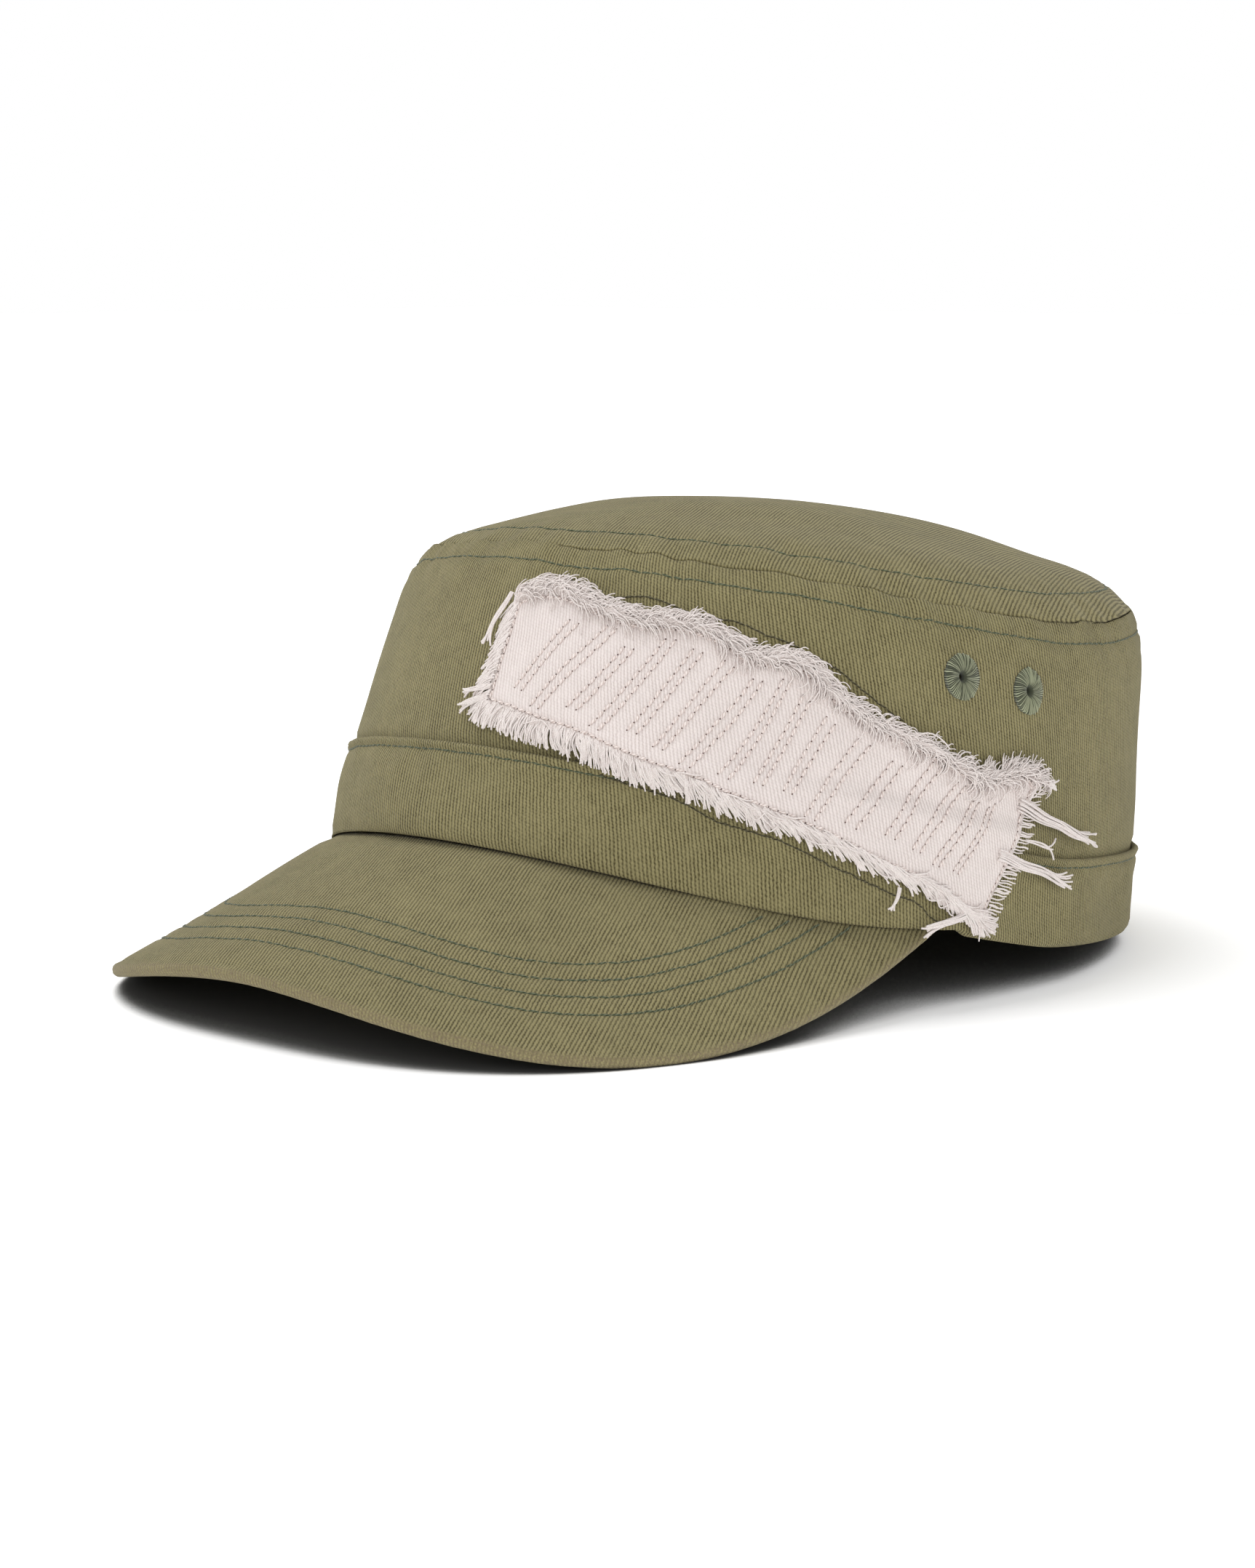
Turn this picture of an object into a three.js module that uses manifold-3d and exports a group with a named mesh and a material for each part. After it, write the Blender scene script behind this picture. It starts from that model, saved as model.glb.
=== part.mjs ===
// A cadet cap in olive cotton twill, with a frayed cloth patch sewn on its left side.
// Lengths are millimetres and +Z is up. The peak points to -Y and the wearer's left side is +X.
// Each piece is drawn in the cap's own frame, whose origin is the middle of the rim. The whole cap is then
// tipped back and set down, so that it lies on both sides of its peak and on the back of its rim.
import * as THREE from 'three';
import { mergeVertices } from 'three/addons/utils/BufferGeometryUtils.js';
import Module from 'manifold-3d';

const wasm = await Module();
wasm.setup();

// Driving dimensions: the head opening and the crown above it
const RIM = { length: 606, lengthToWidth: 1.11, frontRise: 4.4, backRise: 10.4, easing: 0.15 };
const CROWN = {
  sideHeight: 73,
  frontHeightChange: -4.6,
  endsHeightChange: 1.4,
  frontTaper: 20.2,
  sideTaper: 3,
  backTaper: 18.1,
  taperPower: 1.3,
  seamSquareness: 2.13,
  domeHeight: 17.5,
  domePower: 2.16,
};
const SHOULDER = { sideShare: 0.84, pullIn: 3.4, topShare: 0.86, lift: 2.3 };
const CLOTH = 1.6;
const GAP = 0.3;

// Driving dimensions: the band round the lower part of the crown
const BAND = {
  front: 22.2,
  side: 20.3,
  back: 20.3,
  outset: 0.9,
  foldOutset: 1.2,
  foldDepth: 1.4,
  lowerEdge: 1.2,
  lap: 12,
  lapInset: 0.5,
  neckAt: 2.6,
  leavesPeakAt: 74.2,
  runOut: 7,
};

// Driving dimensions: the peak, a board covered in the same cloth
const PEAK = {
  cornerAngle: 71,
  reach: 51.8,
  squareness: 2.58,
  flare: 11.8,
  slope: 32.7,
  sideDrop: 40.8,
  dropHalfWidth: 90,
  dropFade: 0.24,
  dropFadeReach: 60,
  thickness: 3,
  tuck: 1.5,
  edgeRound: 0.7,
  cornerThinning: 0.6,
};

// Driving dimensions: the embroidered eyelets, two on each side
const EYELET = {
  angles: [70, 82.5],
  up: 56.2,
  outerRadius: 5.2,
  holeRadius: 0.9,
  tubeRadius: 1.9,
  height: 0.9,
  drillLength: 12,
};

// Driving dimensions: the patch, measured along the crown from the middle of its front and up from the rim
const PATCH = {
  wrapRadius: 95,
  thickness: 1,
  fringe: 4,
  endFringe: 3,
  tuftReach: 22,
  tuftLean: 0.1,
  tuftLift: 2,
  lowTuftReach: 7,
  lift: { low: 0.3, high: 0.6, end: 0.4 },
  clearOfFold: { from: 3, to: 8 },
};
const PATCH_EDGES = [
  { lowAlong: 1, low: 30, highAlong: -1, high: 57 },
  { lowAlong: 10, low: 28.6, highAlong: 7, high: 60.3 },
  { lowAlong: 18, low: 27, highAlong: 17, high: 60 },
  { lowAlong: 28, low: 25.8, highAlong: 29, high: 56.6 },
  { lowAlong: 37, low: 23.3, highAlong: 38, high: 56 },
  { lowAlong: 46, low: 21, highAlong: 48, high: 57.6 },
  { lowAlong: 55, low: 20.2, highAlong: 57, high: 56.4 },
  { lowAlong: 65, low: 17.6, highAlong: 66, high: 51.8 },
  { lowAlong: 73, low: 16.2, highAlong: 74, high: 54.8 },
  { lowAlong: 81, low: 14.8, highAlong: 80, high: 51.8 },
  { lowAlong: 91, low: 12.7, highAlong: 88, high: 45.8 },
  { lowAlong: 102, low: 9.4, highAlong: 100, high: 42.8 },
  { lowAlong: 110, low: 8.4, highAlong: 110, high: 40.6 },
  { lowAlong: 116, low: 6.6, highAlong: 121, high: 37.4 },
  { lowAlong: 121, low: 5.2, highAlong: 128, high: 36.8 },
  { lowAlong: 125, low: 4.8, highAlong: 136, high: 40.6 },
  { lowAlong: 129, low: 4.4, highAlong: 145, high: 38.8 },
];

// How the cap is set down: tipped back about its rim, then moved over the middle of its footprint
const SET_DOWN = { pitch: 12.1, left: -1.57, back: 23.64, up: -10.5 };

// How finely the round pieces are divided
const AROUND = 64;
const HOLE_SIDES = 12;
const EYELET_SIDES = 16;

const { degToRad, clamp, lerp, smoothstep } = THREE.MathUtils;
const rimRoundness = Math.sqrt((1 + RIM.lengthToWidth ** 2) / 2);
const halfWidth = RIM.length / (2 * Math.PI * rimRoundness);
const halfLength = halfWidth * RIM.lengthToWidth;
const cornerAngle = degToRad(PEAK.cornerAngle);

// Point of an oval seen from above, at an angle counted from the front towards the wearer's left
function oval(angle, lengthwise, sideways, squareness = 2) {
  const front = Math.abs(Math.cos(angle) / lengthwise) ** squareness;
  const side = Math.abs(Math.sin(angle) / sideways) ** squareness;
  const radius = (front + side) ** (-1 / squareness);
  return { x: radius * Math.sin(angle), y: -radius * Math.cos(angle) };
}

// Height of the crown's lower edge, which rises a little at the front and more at the back
function rimHeight(angle) {
  const forward = Math.cos(angle);
  const eased = (distance) => Math.hypot(distance, RIM.easing) - RIM.easing;
  return forward > 0 ? RIM.frontRise * forward ** 2 : (RIM.backRise * eased(forward)) / eased(1);
}

// Height of the crown's side wall, from its lower edge to the top seam
function wallHeight(angle) {
  const forward = Math.cos(angle);
  return CROWN.sideHeight + CROWN.frontHeightChange * forward + CROWN.endsHeightChange * forward ** 2;
}

// Height of the band's folded upper edge above the rim
function bandHeight(angle) {
  const forward = Math.cos(angle);
  const end = forward > 0 ? BAND.front : BAND.back;
  return BAND.side + (end - BAND.side) * forward ** 2;
}

// Outer face of the side wall: a share of 0 is the lower edge and 1 is the top seam
function sidePoint(angle, share) {
  const taper = Math.max(share, 0) ** CROWN.taperPower;
  const shoulderShare = Math.max((share - SHOULDER.sideShare) / (1 - SHOULDER.sideShare), 0);
  const shoulder = SHOULDER.pullIn * shoulderShare ** 2;
  const endTaper = Math.cos(angle) > 0 ? CROWN.frontTaper : CROWN.backTaper;
  const squareness = lerp(2, CROWN.seamSquareness, clamp(share, 0, 1));
  const lengthwise = halfLength - endTaper * taper - shoulder;
  const sideways = halfWidth - CROWN.sideTaper * taper - shoulder;
  const { x, y } = oval(angle, lengthwise, sideways, squareness);
  return new THREE.Vector3(x, y, rimHeight(angle) + wallHeight(angle) * share);
}

// Outer face of the top panel: a share of 1 is the top seam and 0 is the middle of the dome
function topPoint(angle, share) {
  const seam = sidePoint(angle, 1);
  const front = rimHeight(0) + wallHeight(0);
  const back = rimHeight(Math.PI) + wallHeight(Math.PI);
  const middle = (front + back) / 4 + CROWN.sideHeight / 2;
  const slant = ((front - back) / 2) * Math.cos(angle);
  const saddle = seam.z - middle - slant;
  const dome = CROWN.domeHeight * (1 - share ** CROWN.domePower);
  const edge = Math.max((share - SHOULDER.topShare) / (1 - SHOULDER.topShare), 0) ** 2;
  const height = middle + slant * share + saddle * share ** 2 + dome + SHOULDER.lift * (1 - edge);
  return new THREE.Vector3(seam.x * share, seam.y * share, height);
}

// The whole outer face in one run: 0 at the rim, 1 at the top seam and 2 in the middle of the dome
function shellPoint(angle, run) {
  return run <= 1 ? sidePoint(angle, run) : topPoint(angle, 2 - run);
}

// Outward direction of the outer face, evened out across the top seam
function shellNormal(angle, run) {
  const middle = clamp(run, 0, 1.97);
  const [turn, climb] = [0.02, 0.025];
  const along = shellPoint(angle + turn, middle).sub(shellPoint(angle - turn, middle));
  const upward = shellPoint(angle, middle + climb).sub(shellPoint(angle, middle - climb));
  return along.cross(upward).normalize();
}

function offShell(angle, run, outset) {
  return shellPoint(angle, run).addScaledVector(shellNormal(angle, run), outset);
}

// Upper face of the peak, which slopes down to the front and curves down to both sides
function peakTop(x, y) {
  const forward = -y - halfLength;
  const fade = 1 - (PEAK.dropFade * forward) / PEAK.dropFadeReach;
  const sideDrop = PEAK.sideDrop * (x / PEAK.dropHalfWidth) ** 2 * fade;
  return RIM.frontRise - sideDrop - Math.tan(degToRad(PEAK.slope)) * forward;
}

// Closed wall from a sheet of faces: the faces on the outer points, the same faces turned over on the inner
// points, and a strip along each open edge
function closedWall(faces, outer, inner) {
  const points = [...outer, ...inner];
  const triangles = [];
  const openEdges = new Map();
  for (const face of faces) {
    for (let k = 2; k < face.length; k += 1) {
      triangles.push(face[0], face[k - 1], face[k]);
      triangles.push(face[k] + outer.length, face[k - 1] + outer.length, face[0] + outer.length);
    }
    face.forEach((start, k) => {
      const end = face[(k + 1) % face.length];
      if (!openEdges.delete(`${end},${start}`)) openEdges.set(`${start},${end}`, [start, end]);
    });
  }
  for (const [start, end] of openEdges.values()) {
    triangles.push(end, start, start + outer.length);
    triangles.push(end, start + outer.length, end + outer.length);
  }
  const geometry = new THREE.BufferGeometry();
  geometry.setAttribute('position', new THREE.Float32BufferAttribute(points.flatMap((p) => p.toArray()), 3));
  geometry.setIndex(triangles);
  return geometry;
}

// Four-sided faces of a grid whose points are listed row by row, closed round its columns where asked
function gridFaces(columns, rows, closed = false) {
  const faces = [];
  for (let row = 0; row + 1 < rows; row += 1) {
    for (let column = 0; column < (closed ? columns : columns - 1); column += 1) {
      const next = (column + 1) % columns;
      const low = row * columns;
      faces.push([low + column, low + next, low + columns + next, low + columns + column]);
    }
  }
  return faces;
}

// Angles of the columns of a piece that goes right round the head
function columnAngles() {
  return Array.from({ length: AROUND }, (_, column) => (column / AROUND) * 2 * Math.PI);
}

// Closed solid of a piece round the head, from rows that each give a point for an angle
function ringWall(outerRows, innerRows) {
  const angles = columnAngles();
  const outer = outerRows.flatMap((row) => angles.map(row));
  const inner = innerRows.flatMap((row) => angles.map(row));
  return closedWall(gridFaces(AROUND, outerRows.length, true), outer, inner);
}

// Solid and mesh forms of a geometry, for cutting
function toSolid(geometry) {
  const bare = geometry.clone();
  bare.deleteAttribute('normal');
  bare.deleteAttribute('uv');
  const merged = mergeVertices(bare);
  const vertProperties = Float32Array.from(merged.attributes.position.array);
  const triVerts = Uint32Array.from(merged.index.array);
  return new wasm.Manifold(new wasm.Mesh({ numProp: 3, vertProperties, triVerts }));
}

function toGeometry(solid) {
  const { vertProperties, triVerts } = solid.getMesh();
  const geometry = new THREE.BufferGeometry();
  geometry.setAttribute('position', new THREE.BufferAttribute(vertProperties, 3));
  geometry.setIndex(new THREE.BufferAttribute(triVerts, 1));
  return geometry;
}

// Where the cap's own frame lies once the cap is set down
function setDownMatrix() {
  const tip = new THREE.Matrix4().makeRotationX(-degToRad(SET_DOWN.pitch));
  const toHinge = new THREE.Matrix4().makeTranslation(0, -halfLength, 0);
  const settle = new THREE.Matrix4().makeTranslation(SET_DOWN.left, halfLength + SET_DOWN.back, SET_DOWN.up);
  return settle.multiply(tip).multiply(toHinge);
}

// Flattens a piece against the surface that the cap lies on
function flattenedWhereItRests(geometry) {
  const size = 600;
  const above = new THREE.BoxGeometry(size, size, size).translate(0, 0, size / 2);
  above.applyMatrix4(setDownMatrix().invert());
  return toGeometry(toSolid(geometry).intersect(toSolid(above)));
}

// Turns a shape made round +Z so that it stands on the outer face at a place on the side wall
function standOnWall(geometry, angle, up) {
  const run = up / wallHeight(angle);
  const upright = new THREE.Vector3(0, 0, 1);
  const facing = new THREE.Quaternion().setFromUnitVectors(upright, shellNormal(angle, run));
  const place = shellPoint(angle, run);
  return geometry.applyQuaternion(facing).translate(place.x, place.y, place.z);
}

function eyeletPlaces() {
  const left = EYELET.angles.map(degToRad);
  return [...left, ...left.map((angle) => -angle)];
}

// Top panel: a domed oval of cloth, closed in the middle
function crownTop() {
  const shares = [1 - GAP / 2 / halfWidth, 0.96, 0.91, 0.86, 0.75, 0.6, 0.42, 0.2];
  const angles = columnAngles();
  const points = (outset) => [
    ...shares.flatMap((share) => angles.map((angle) => offShell(angle, 2 - share, outset))),
    topPoint(0, 0).add(new THREE.Vector3(0, 0, outset)),
  ];
  const faces = gridFaces(AROUND, shares.length, true);
  const lastRow = (shares.length - 1) * AROUND;
  const middle = shares.length * AROUND;
  for (let column = 0; column < AROUND; column += 1) {
    faces.push([lastRow + column, lastRow + ((column + 1) % AROUND), middle]);
  }
  return closedWall(faces, points(0), points(-CLOTH));
}

// Side wall: it necks in just above the band and goes on down behind it
function crownSide() {
  const lapped = [-BAND.lap, GAP].map((above) => ({ above, outset: -BAND.lapInset }));
  const lowRows = [...lapped, { above: BAND.neckAt, outset: 0 }].map(({ above, outset }) => ({
    run: (angle) => (bandHeight(angle) + above) / wallHeight(angle),
    outset,
  }));
  const highShares = [0.5, 0.64, 0.76, 0.86, 0.93, 1 - GAP / 2 / CROWN.sideHeight];
  const highRows = highShares.map((share) => ({ run: () => share, outset: 0 }));
  const rows = [...lowRows, ...highRows];
  const rowPoint = ({ run, outset }, inset) => (angle) => offShell(angle, run(angle), outset - inset);
  const face = (inset) => rows.map((row) => rowPoint(row, inset));
  let wall = toSolid(ringWall(face(0), face(CLOTH)));
  const drillRadius = EYELET.tubeRadius + GAP;
  for (const angle of eyeletPlaces()) {
    const drill = new THREE.CylinderGeometry(drillRadius, drillRadius, EYELET.drillLength, HOLE_SIDES);
    wall = wall.subtract(toSolid(standOnWall(drill.rotateX(Math.PI / 2), angle, EYELET.up)));
  }
  return toGeometry(wall);
}

// Band: folded over at its upper edge, and resting on the peak at the front
function band() {
  const { outset, foldOutset, foldDepth, lowerEdge, lap } = BAND;
  const inLap = BAND.lapInset - GAP;
  const rows = [
    { above: () => 0, outset: outset - 0.3, inset: outset - 0.2, overPeak: GAP },
    { above: () => lowerEdge, outset, inset: outset, overPeak: GAP + lowerEdge },
    { above: (top) => top - lap - 1.5, outset, inset: outset },
    { above: (top) => top - lap - GAP, outset, inset: inLap },
    { above: (top) => top - 2 * foldDepth, outset, inset: inLap },
    { above: (top) => top - foldDepth, outset: foldOutset, inset: inLap },
    { above: (top) => top - 0.3, outset: foldOutset - 0.1, inset: inLap },
    { above: (top) => top, outset: foldOutset - 0.6, inset: inLap },
  ];
  const rowPoint = (row, off) => (angle) => {
    const point = offShell(angle, row.above(bandHeight(angle)) / wallHeight(angle), off);
    if (!row.overPeak) return point;
    const fromFront = Math.abs(Math.atan2(Math.sin(angle), Math.cos(angle)));
    const offPeak = clamp((fromFront - degToRad(BAND.leavesPeakAt)) / degToRad(BAND.runOut), 0, 1);
    if (offPeak < 1) point.z = lerp(peakTop(point.x, point.y) + row.overPeak, point.z, offPeak);
    return point;
  };
  const outerRows = rows.map((row) => rowPoint(row, row.outset));
  const innerRows = rows.map((row) => rowPoint(row, -row.inset));
  return flattenedWhereItRests(ringWall(outerRows, innerRows));
}

// Peak: a curved board from under the band's front edge to a rounded outer edge
function peak() {
  const stations = 36;
  const shares = [0, 0.2, 0.4, 0.6, 0.78, 0.91, 0.97, 1];
  const corner = oval(cornerAngle, halfLength, halfWidth);
  const depth = PEAK.reach + halfLength + corner.y;
  const outer = [];
  const inner = [];
  const addPlace = (x, y, share, across) => {
    const step = 0.5;
    const slopeX = (peakTop(x + step, y) - peakTop(x - step, y)) / (2 * step);
    const slopeY = (peakTop(x, y + step) - peakTop(x, y - step)) / (2 * step);
    const normal = new THREE.Vector3(-slopeX, -slopeY, 1).normalize();
    const point = new THREE.Vector3(x, y, peakTop(x, y));
    const round = share === 1 ? PEAK.edgeRound : 0;
    const thin = lerp(1, PEAK.cornerThinning, smoothstep(Math.abs(across), 0.9, 1));
    outer.push(point.clone().addScaledVector(normal, -round * thin));
    inner.push(point.clone().addScaledVector(normal, -(PEAK.thickness - round) * thin));
  };
  for (const share of shares) {
    for (let station = 0; station <= stations; station += 1) {
      const across = (station / stations) * 2 - 1;
      const under = oval(across * cornerAngle, halfLength - PEAK.tuck, halfWidth - PEAK.tuck);
      const swing = (across * Math.PI) / 2;
      const [sine, cosine] = [Math.sin(swing), Math.cos(swing)];
      const squareness = PEAK.squareness;
      const radius = (Math.abs(sine) ** squareness + cosine ** squareness) ** (-1 / squareness);
      const edgeX = (corner.x + PEAK.flare * cosine) * radius * sine;
      const edgeY = corner.y - depth * radius * cosine;
      addPlace(lerp(under.x, edgeX, share), lerp(under.y, edgeY, share), share, across);
    }
  }
  const faces = gridFaces(stations + 1, shares.length).map((face) => face.reverse());
  return flattenedWhereItRests(closedWall(faces, outer, inner));
}

// Eyelet: an embroidered ring on the outer face, whose middle goes through the wall
function eyelet(angle) {
  const { outerRadius, holeRadius, tubeRadius, height } = EYELET;
  const profile = [
    [holeRadius, -CLOTH - GAP],
    [tubeRadius, -CLOTH - GAP],
    [tubeRadius, GAP],
    [outerRadius - 0.2, GAP],
    [outerRadius, GAP + 0.3],
    [outerRadius - 1, GAP + height * 0.85],
    [tubeRadius + 0.6, GAP + height],
    [holeRadius + 0.2, GAP + height * 0.6],
    [holeRadius, -CLOTH - GAP],
  ];
  const ring = new THREE.LatheGeometry(profile.map(([r, z]) => new THREE.Vector2(r, z)), EYELET_SIDES);
  return standOnWall(ring.rotateX(Math.PI / 2), angle, EYELET.up);
}

// A place over the side of the cap, clear of the band's fold, for what is sewn on top of both
function overSide(along, up, lift) {
  const angle = along / PATCH.wrapRadius;
  const fold = bandHeight(angle);
  const onBand = 1 - smoothstep(up, fold + PATCH.clearOfFold.from, fold + PATCH.clearOfFold.to);
  return offShell(angle, up / wallHeight(angle), GAP + BAND.foldOutset * onBand + lift);
}

// Patch: a sheet of woven cloth with frayed locks of thread along all four edges
function patch() {
  const upward = 8;
  const sections = 2;
  const places = [];
  for (let row = 0; row <= upward; row += 1) {
    PATCH_EDGES.forEach((edge, index) => {
      const next = PATCH_EDGES[index + 1];
      const parts = next ? sections : 1;
      for (let part = 0; part < parts; part += 1) {
        const mix = (key) => (next ? lerp(edge[key], next[key], part / sections) : edge[key]);
        const along = lerp(mix('lowAlong'), mix('highAlong'), row / upward);
        const up = lerp(mix('low'), mix('high'), row / upward);
        places.push({ along, up, lift: 0 });
      }
    });
  }
  const columns = (PATCH_EDGES.length - 1) * sections + 1;
  const faces = gridFaces(columns, upward + 1);
  const last = columns - 1;

  // One lock of thread from the edge between two places, drawn out in narrowing steps
  const addLock = (from, to, { reach, lean, steps, lift }) => {
    const [a, b] = [places[from], places[to]];
    const length = Math.hypot(b.along - a.along, b.up - a.up);
    const out = { along: (b.up - a.up) / length, up: -(b.along - a.along) / length };
    let [left, right] = [from, to];
    for (let step = 1; step <= steps; step += 1) {
      const share = step / steps;
      const width = lerp(1, 0.45, share);
      const middle = {
        along: (a.along + b.along) / 2 + (out.along + lean * -out.up) * reach * share,
        up: (a.up + b.up) / 2 + (out.up + lean * out.along) * reach * share,
      };
      const half = { along: ((b.along - a.along) / 2) * width, up: ((b.up - a.up) / 2) * width };
      places.push({ along: middle.along - half.along, up: middle.up - half.up, lift: lift * share });
      places.push({ along: middle.along + half.along, up: middle.up + half.up, lift: lift * share });
      const [nextLeft, nextRight] = [places.length - 2, places.length - 1];
      faces.push([left, nextLeft, nextRight, right]);
      [left, right] = [nextLeft, nextRight];
    }
  };
  const ragged = (index) => 0.75 + 0.5 * Math.abs(Math.sin(index * 2.4));
  const leaning = (index) => 0.5 * Math.sin(index * 3.7);
  const lowTuft = columns - 6;
  const sideTufts = [3, 6];
  for (let column = 0; column < last; column += 1) {
    const tuft = column === lowTuft;
    const reach = tuft ? PATCH.lowTuftReach : PATCH.fringe * ragged(column);
    const steps = tuft ? 2 : 1;
    addLock(column, column + 1, { reach, lean: tuft ? -1 : leaning(column), steps, lift: PATCH.lift.low });
    const above = upward * columns + column;
    const topReach = PATCH.fringe * ragged(column + 0.5);
    const topLean = leaning(column + 2);
    addLock(above + 1, above, { reach: topReach, lean: topLean, steps: 1, lift: PATCH.lift.high });
  }
  for (let row = 0; row < upward; row += 1) {
    const tuft = sideTufts.includes(row);
    const reach = tuft ? PATCH.tuftReach : PATCH.endFringe * ragged(row);
    const lean = tuft ? PATCH.tuftLean : leaning(row);
    const [low, high] = [row * columns, (row + 1) * columns];
    const lift = tuft ? PATCH.tuftLift : PATCH.lift.end;
    addLock(low + last, high + last, { reach, lean, steps: tuft ? 4 : 1, lift });
    const frontReach = PATCH.endFringe * ragged(row + 3);
    addLock(high, low, { reach: frontReach, lean: leaning(row + 5), steps: 1, lift: PATCH.lift.end });
  }
  const face = (raise) => places.map(({ along, up, lift }) => overSide(along, up, lift + raise));
  return closedWall(faces, face(PATCH.thickness), face(0));
}

// Cloths and threads
const twill = { color: 0x827b5d, roughness: 0.9, metalness: 0 };
const peakTwill = { color: 0x807858, roughness: 0.9, metalness: 0 };
const eyeletThread = { color: 0x7e7f66, roughness: 0.7, metalness: 0 };
const patchCloth = { color: 0xded4d1, roughness: 0.95, metalness: 0 };

const pieces = [
  { name: 'crown_top', geometry: crownTop(), finish: twill },
  { name: 'crown_side', geometry: crownSide(), finish: twill },
  { name: 'band', geometry: band(), finish: twill },
  { name: 'peak', geometry: peak(), finish: peakTwill },
  { name: 'patch', geometry: patch(), finish: patchCloth },
];
const eyeletNames = ['eyelet_left_front', 'eyelet_left_back', 'eyelet_right_front', 'eyelet_right_back'];
eyeletPlaces().forEach((angle, index) => {
  pieces.push({ name: eyeletNames[index], geometry: eyelet(angle), finish: eyeletThread });
});

const cap = new THREE.Group();
for (const { name, geometry, finish } of pieces) {
  const mesh = new THREE.Mesh(geometry, new THREE.MeshStandardMaterial(finish));
  mesh.name = name;
  cap.add(mesh);
}
cap.applyMatrix4(setDownMatrix());

export default cap;
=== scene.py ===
"""A cadet cap in olive cotton twill, with a frayed cloth patch sewn over its left side.

Lengths are metres. Every piece is first shaped in the cap's own frame, whose origin is the middle of the
rim: the peak points to -Y, the wearer's left is +X and +Z is up. Places on the crown are given by an angle,
counted from the front towards the wearer's left, and a run, which is 0 at the rim, 1 at the top seam and 2
in the middle of the dome. The piece is then set down with the cap, tipped back onto the sides of its peak
and the back of its rim.
"""

import logging
import math
from dataclasses import dataclass
from enum import Enum
from typing import Callable, Iterator

import bmesh
import bpy
import numpy as np
from mathutils import Matrix, Vector, noise


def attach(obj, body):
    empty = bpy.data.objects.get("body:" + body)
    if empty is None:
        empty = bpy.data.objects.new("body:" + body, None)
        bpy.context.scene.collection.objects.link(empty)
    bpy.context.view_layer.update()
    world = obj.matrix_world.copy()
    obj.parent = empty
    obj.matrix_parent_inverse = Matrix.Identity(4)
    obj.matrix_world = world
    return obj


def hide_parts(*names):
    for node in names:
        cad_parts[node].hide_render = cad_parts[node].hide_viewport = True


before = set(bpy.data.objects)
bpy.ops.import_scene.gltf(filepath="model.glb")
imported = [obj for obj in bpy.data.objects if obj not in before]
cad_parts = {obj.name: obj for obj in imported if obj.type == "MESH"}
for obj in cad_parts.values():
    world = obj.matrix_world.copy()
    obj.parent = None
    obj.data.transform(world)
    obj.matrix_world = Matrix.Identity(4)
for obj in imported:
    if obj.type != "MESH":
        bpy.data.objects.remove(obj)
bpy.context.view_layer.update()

log = logging.getLogger("cadet_cap")
Array = np.ndarray
MM = 0.001
TURN = 2.0 * math.pi
CLOTH_MAP = "cloth"
# Point attribute: real wear on the cloth pieces; on the eyelets it holds painted light, a painted highlight
# on each thread's ridge with painted shade between ridges and towards the hole.
WEAR_AND_RIDGE_LIGHT = "wear"
NOISE_GAIN = 1.6
ROUND_STEPS = 900


class Slot(Enum):
    """The record's material slots."""

    TWILL = "olive_twill"
    PALE = "pale_cloth"
    THREAD = "green_thread"


def eased(value: Array, low: float, high: float) -> Array:
    """Smooth step from 0 at low to 1 at high."""
    share = np.clip((np.asarray(value) - low) / (high - low), 0.0, 1.0)
    return share * share * (3.0 - 2.0 * share)


def hump(distance: Array, width: float) -> Array:
    """Rounded hump of height 1 at distance 0, about as wide as width to each side."""
    return np.exp(-((np.asarray(distance) / width) ** 2))


def rough(first: Array, second: Array, layer: float) -> Array:
    """Even noise over two coordinates.

    Args:
        first: First coordinate, in lengths of one bump.
        second: Second coordinate, in lengths of one bump.
        layer: Which of many unlike noises to use.

    Returns:
        Values from about -1 to 1, in the coordinates' common shape.
    """
    first, second = np.broadcast_arrays(np.asarray(first, float), np.asarray(second, float))
    pairs = zip(first.ravel(), second.ravel())
    values = np.array([noise.noise((a, b, layer)) for a, b in pairs])
    return NOISE_GAIN * values.reshape(first.shape)


def round_noise(angle: Array, second: Array, bumps: float, layer: float) -> Array:
    """Noise that meets itself after a full turn of the angle.

    Args:
        angle: Angles round the cap.
        second: Second coordinate, in lengths of one bump.
        bumps: How many bumps fit round the cap.
        layer: Which of many unlike noises to use.

    Returns:
        Values from about -1 to 1.
    """
    angle, second = np.broadcast_arrays(np.asarray(angle, float), np.asarray(second, float))
    radius, apart = bumps / TURN, 7.3
    places = zip((radius * np.sin(angle)).ravel(), (radius * np.cos(angle)).ravel(), second.ravel())
    values = np.array([noise.noise((a + layer, b, c + apart * layer)) for a, b, c in places])
    return NOISE_GAIN * values.reshape(angle.shape)


@dataclass(frozen=True)
class Bumps:
    """Uneven bumps round the cap: how many, how tall each is, how far they stand out, and which noise."""

    count: float
    tall: float
    depth: float
    layer: float

    def at(self, angle: Array, up: Array = 0.0) -> Array:
        """How far the bumps stand out at angles and heights."""
        return self.depth * round_noise(angle, up / self.tall, self.count, self.layer)


@dataclass(frozen=True)
class Ripples:
    """Uneven bumps over a sheet: a bump's length each way, how far they stand out, and which noise."""

    length: float
    width: float
    depth: float
    layer: float

    def at(self, first: Array, second: Array = 0.0) -> Array:
        """How far the bumps stand out at places on the sheet."""
        return self.depth * rough(first / self.length, second / self.width, self.layer)


def from_middle(angle: Array, middle: float = 0.0) -> Array:
    """Angle from a middle, between minus and plus half a turn."""
    return np.arctan2(np.sin(angle - middle), np.cos(angle - middle))


def turned_weave(x: Array, y: Array, lean: float) -> Array:
    """Places on the cloth, as seen from above, for a weave that leans by an angle."""
    cosine, sine = math.cos(lean), math.sin(lean)
    return np.stack([x * cosine + y * sine, y * cosine - x * sine], axis=1)


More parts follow.
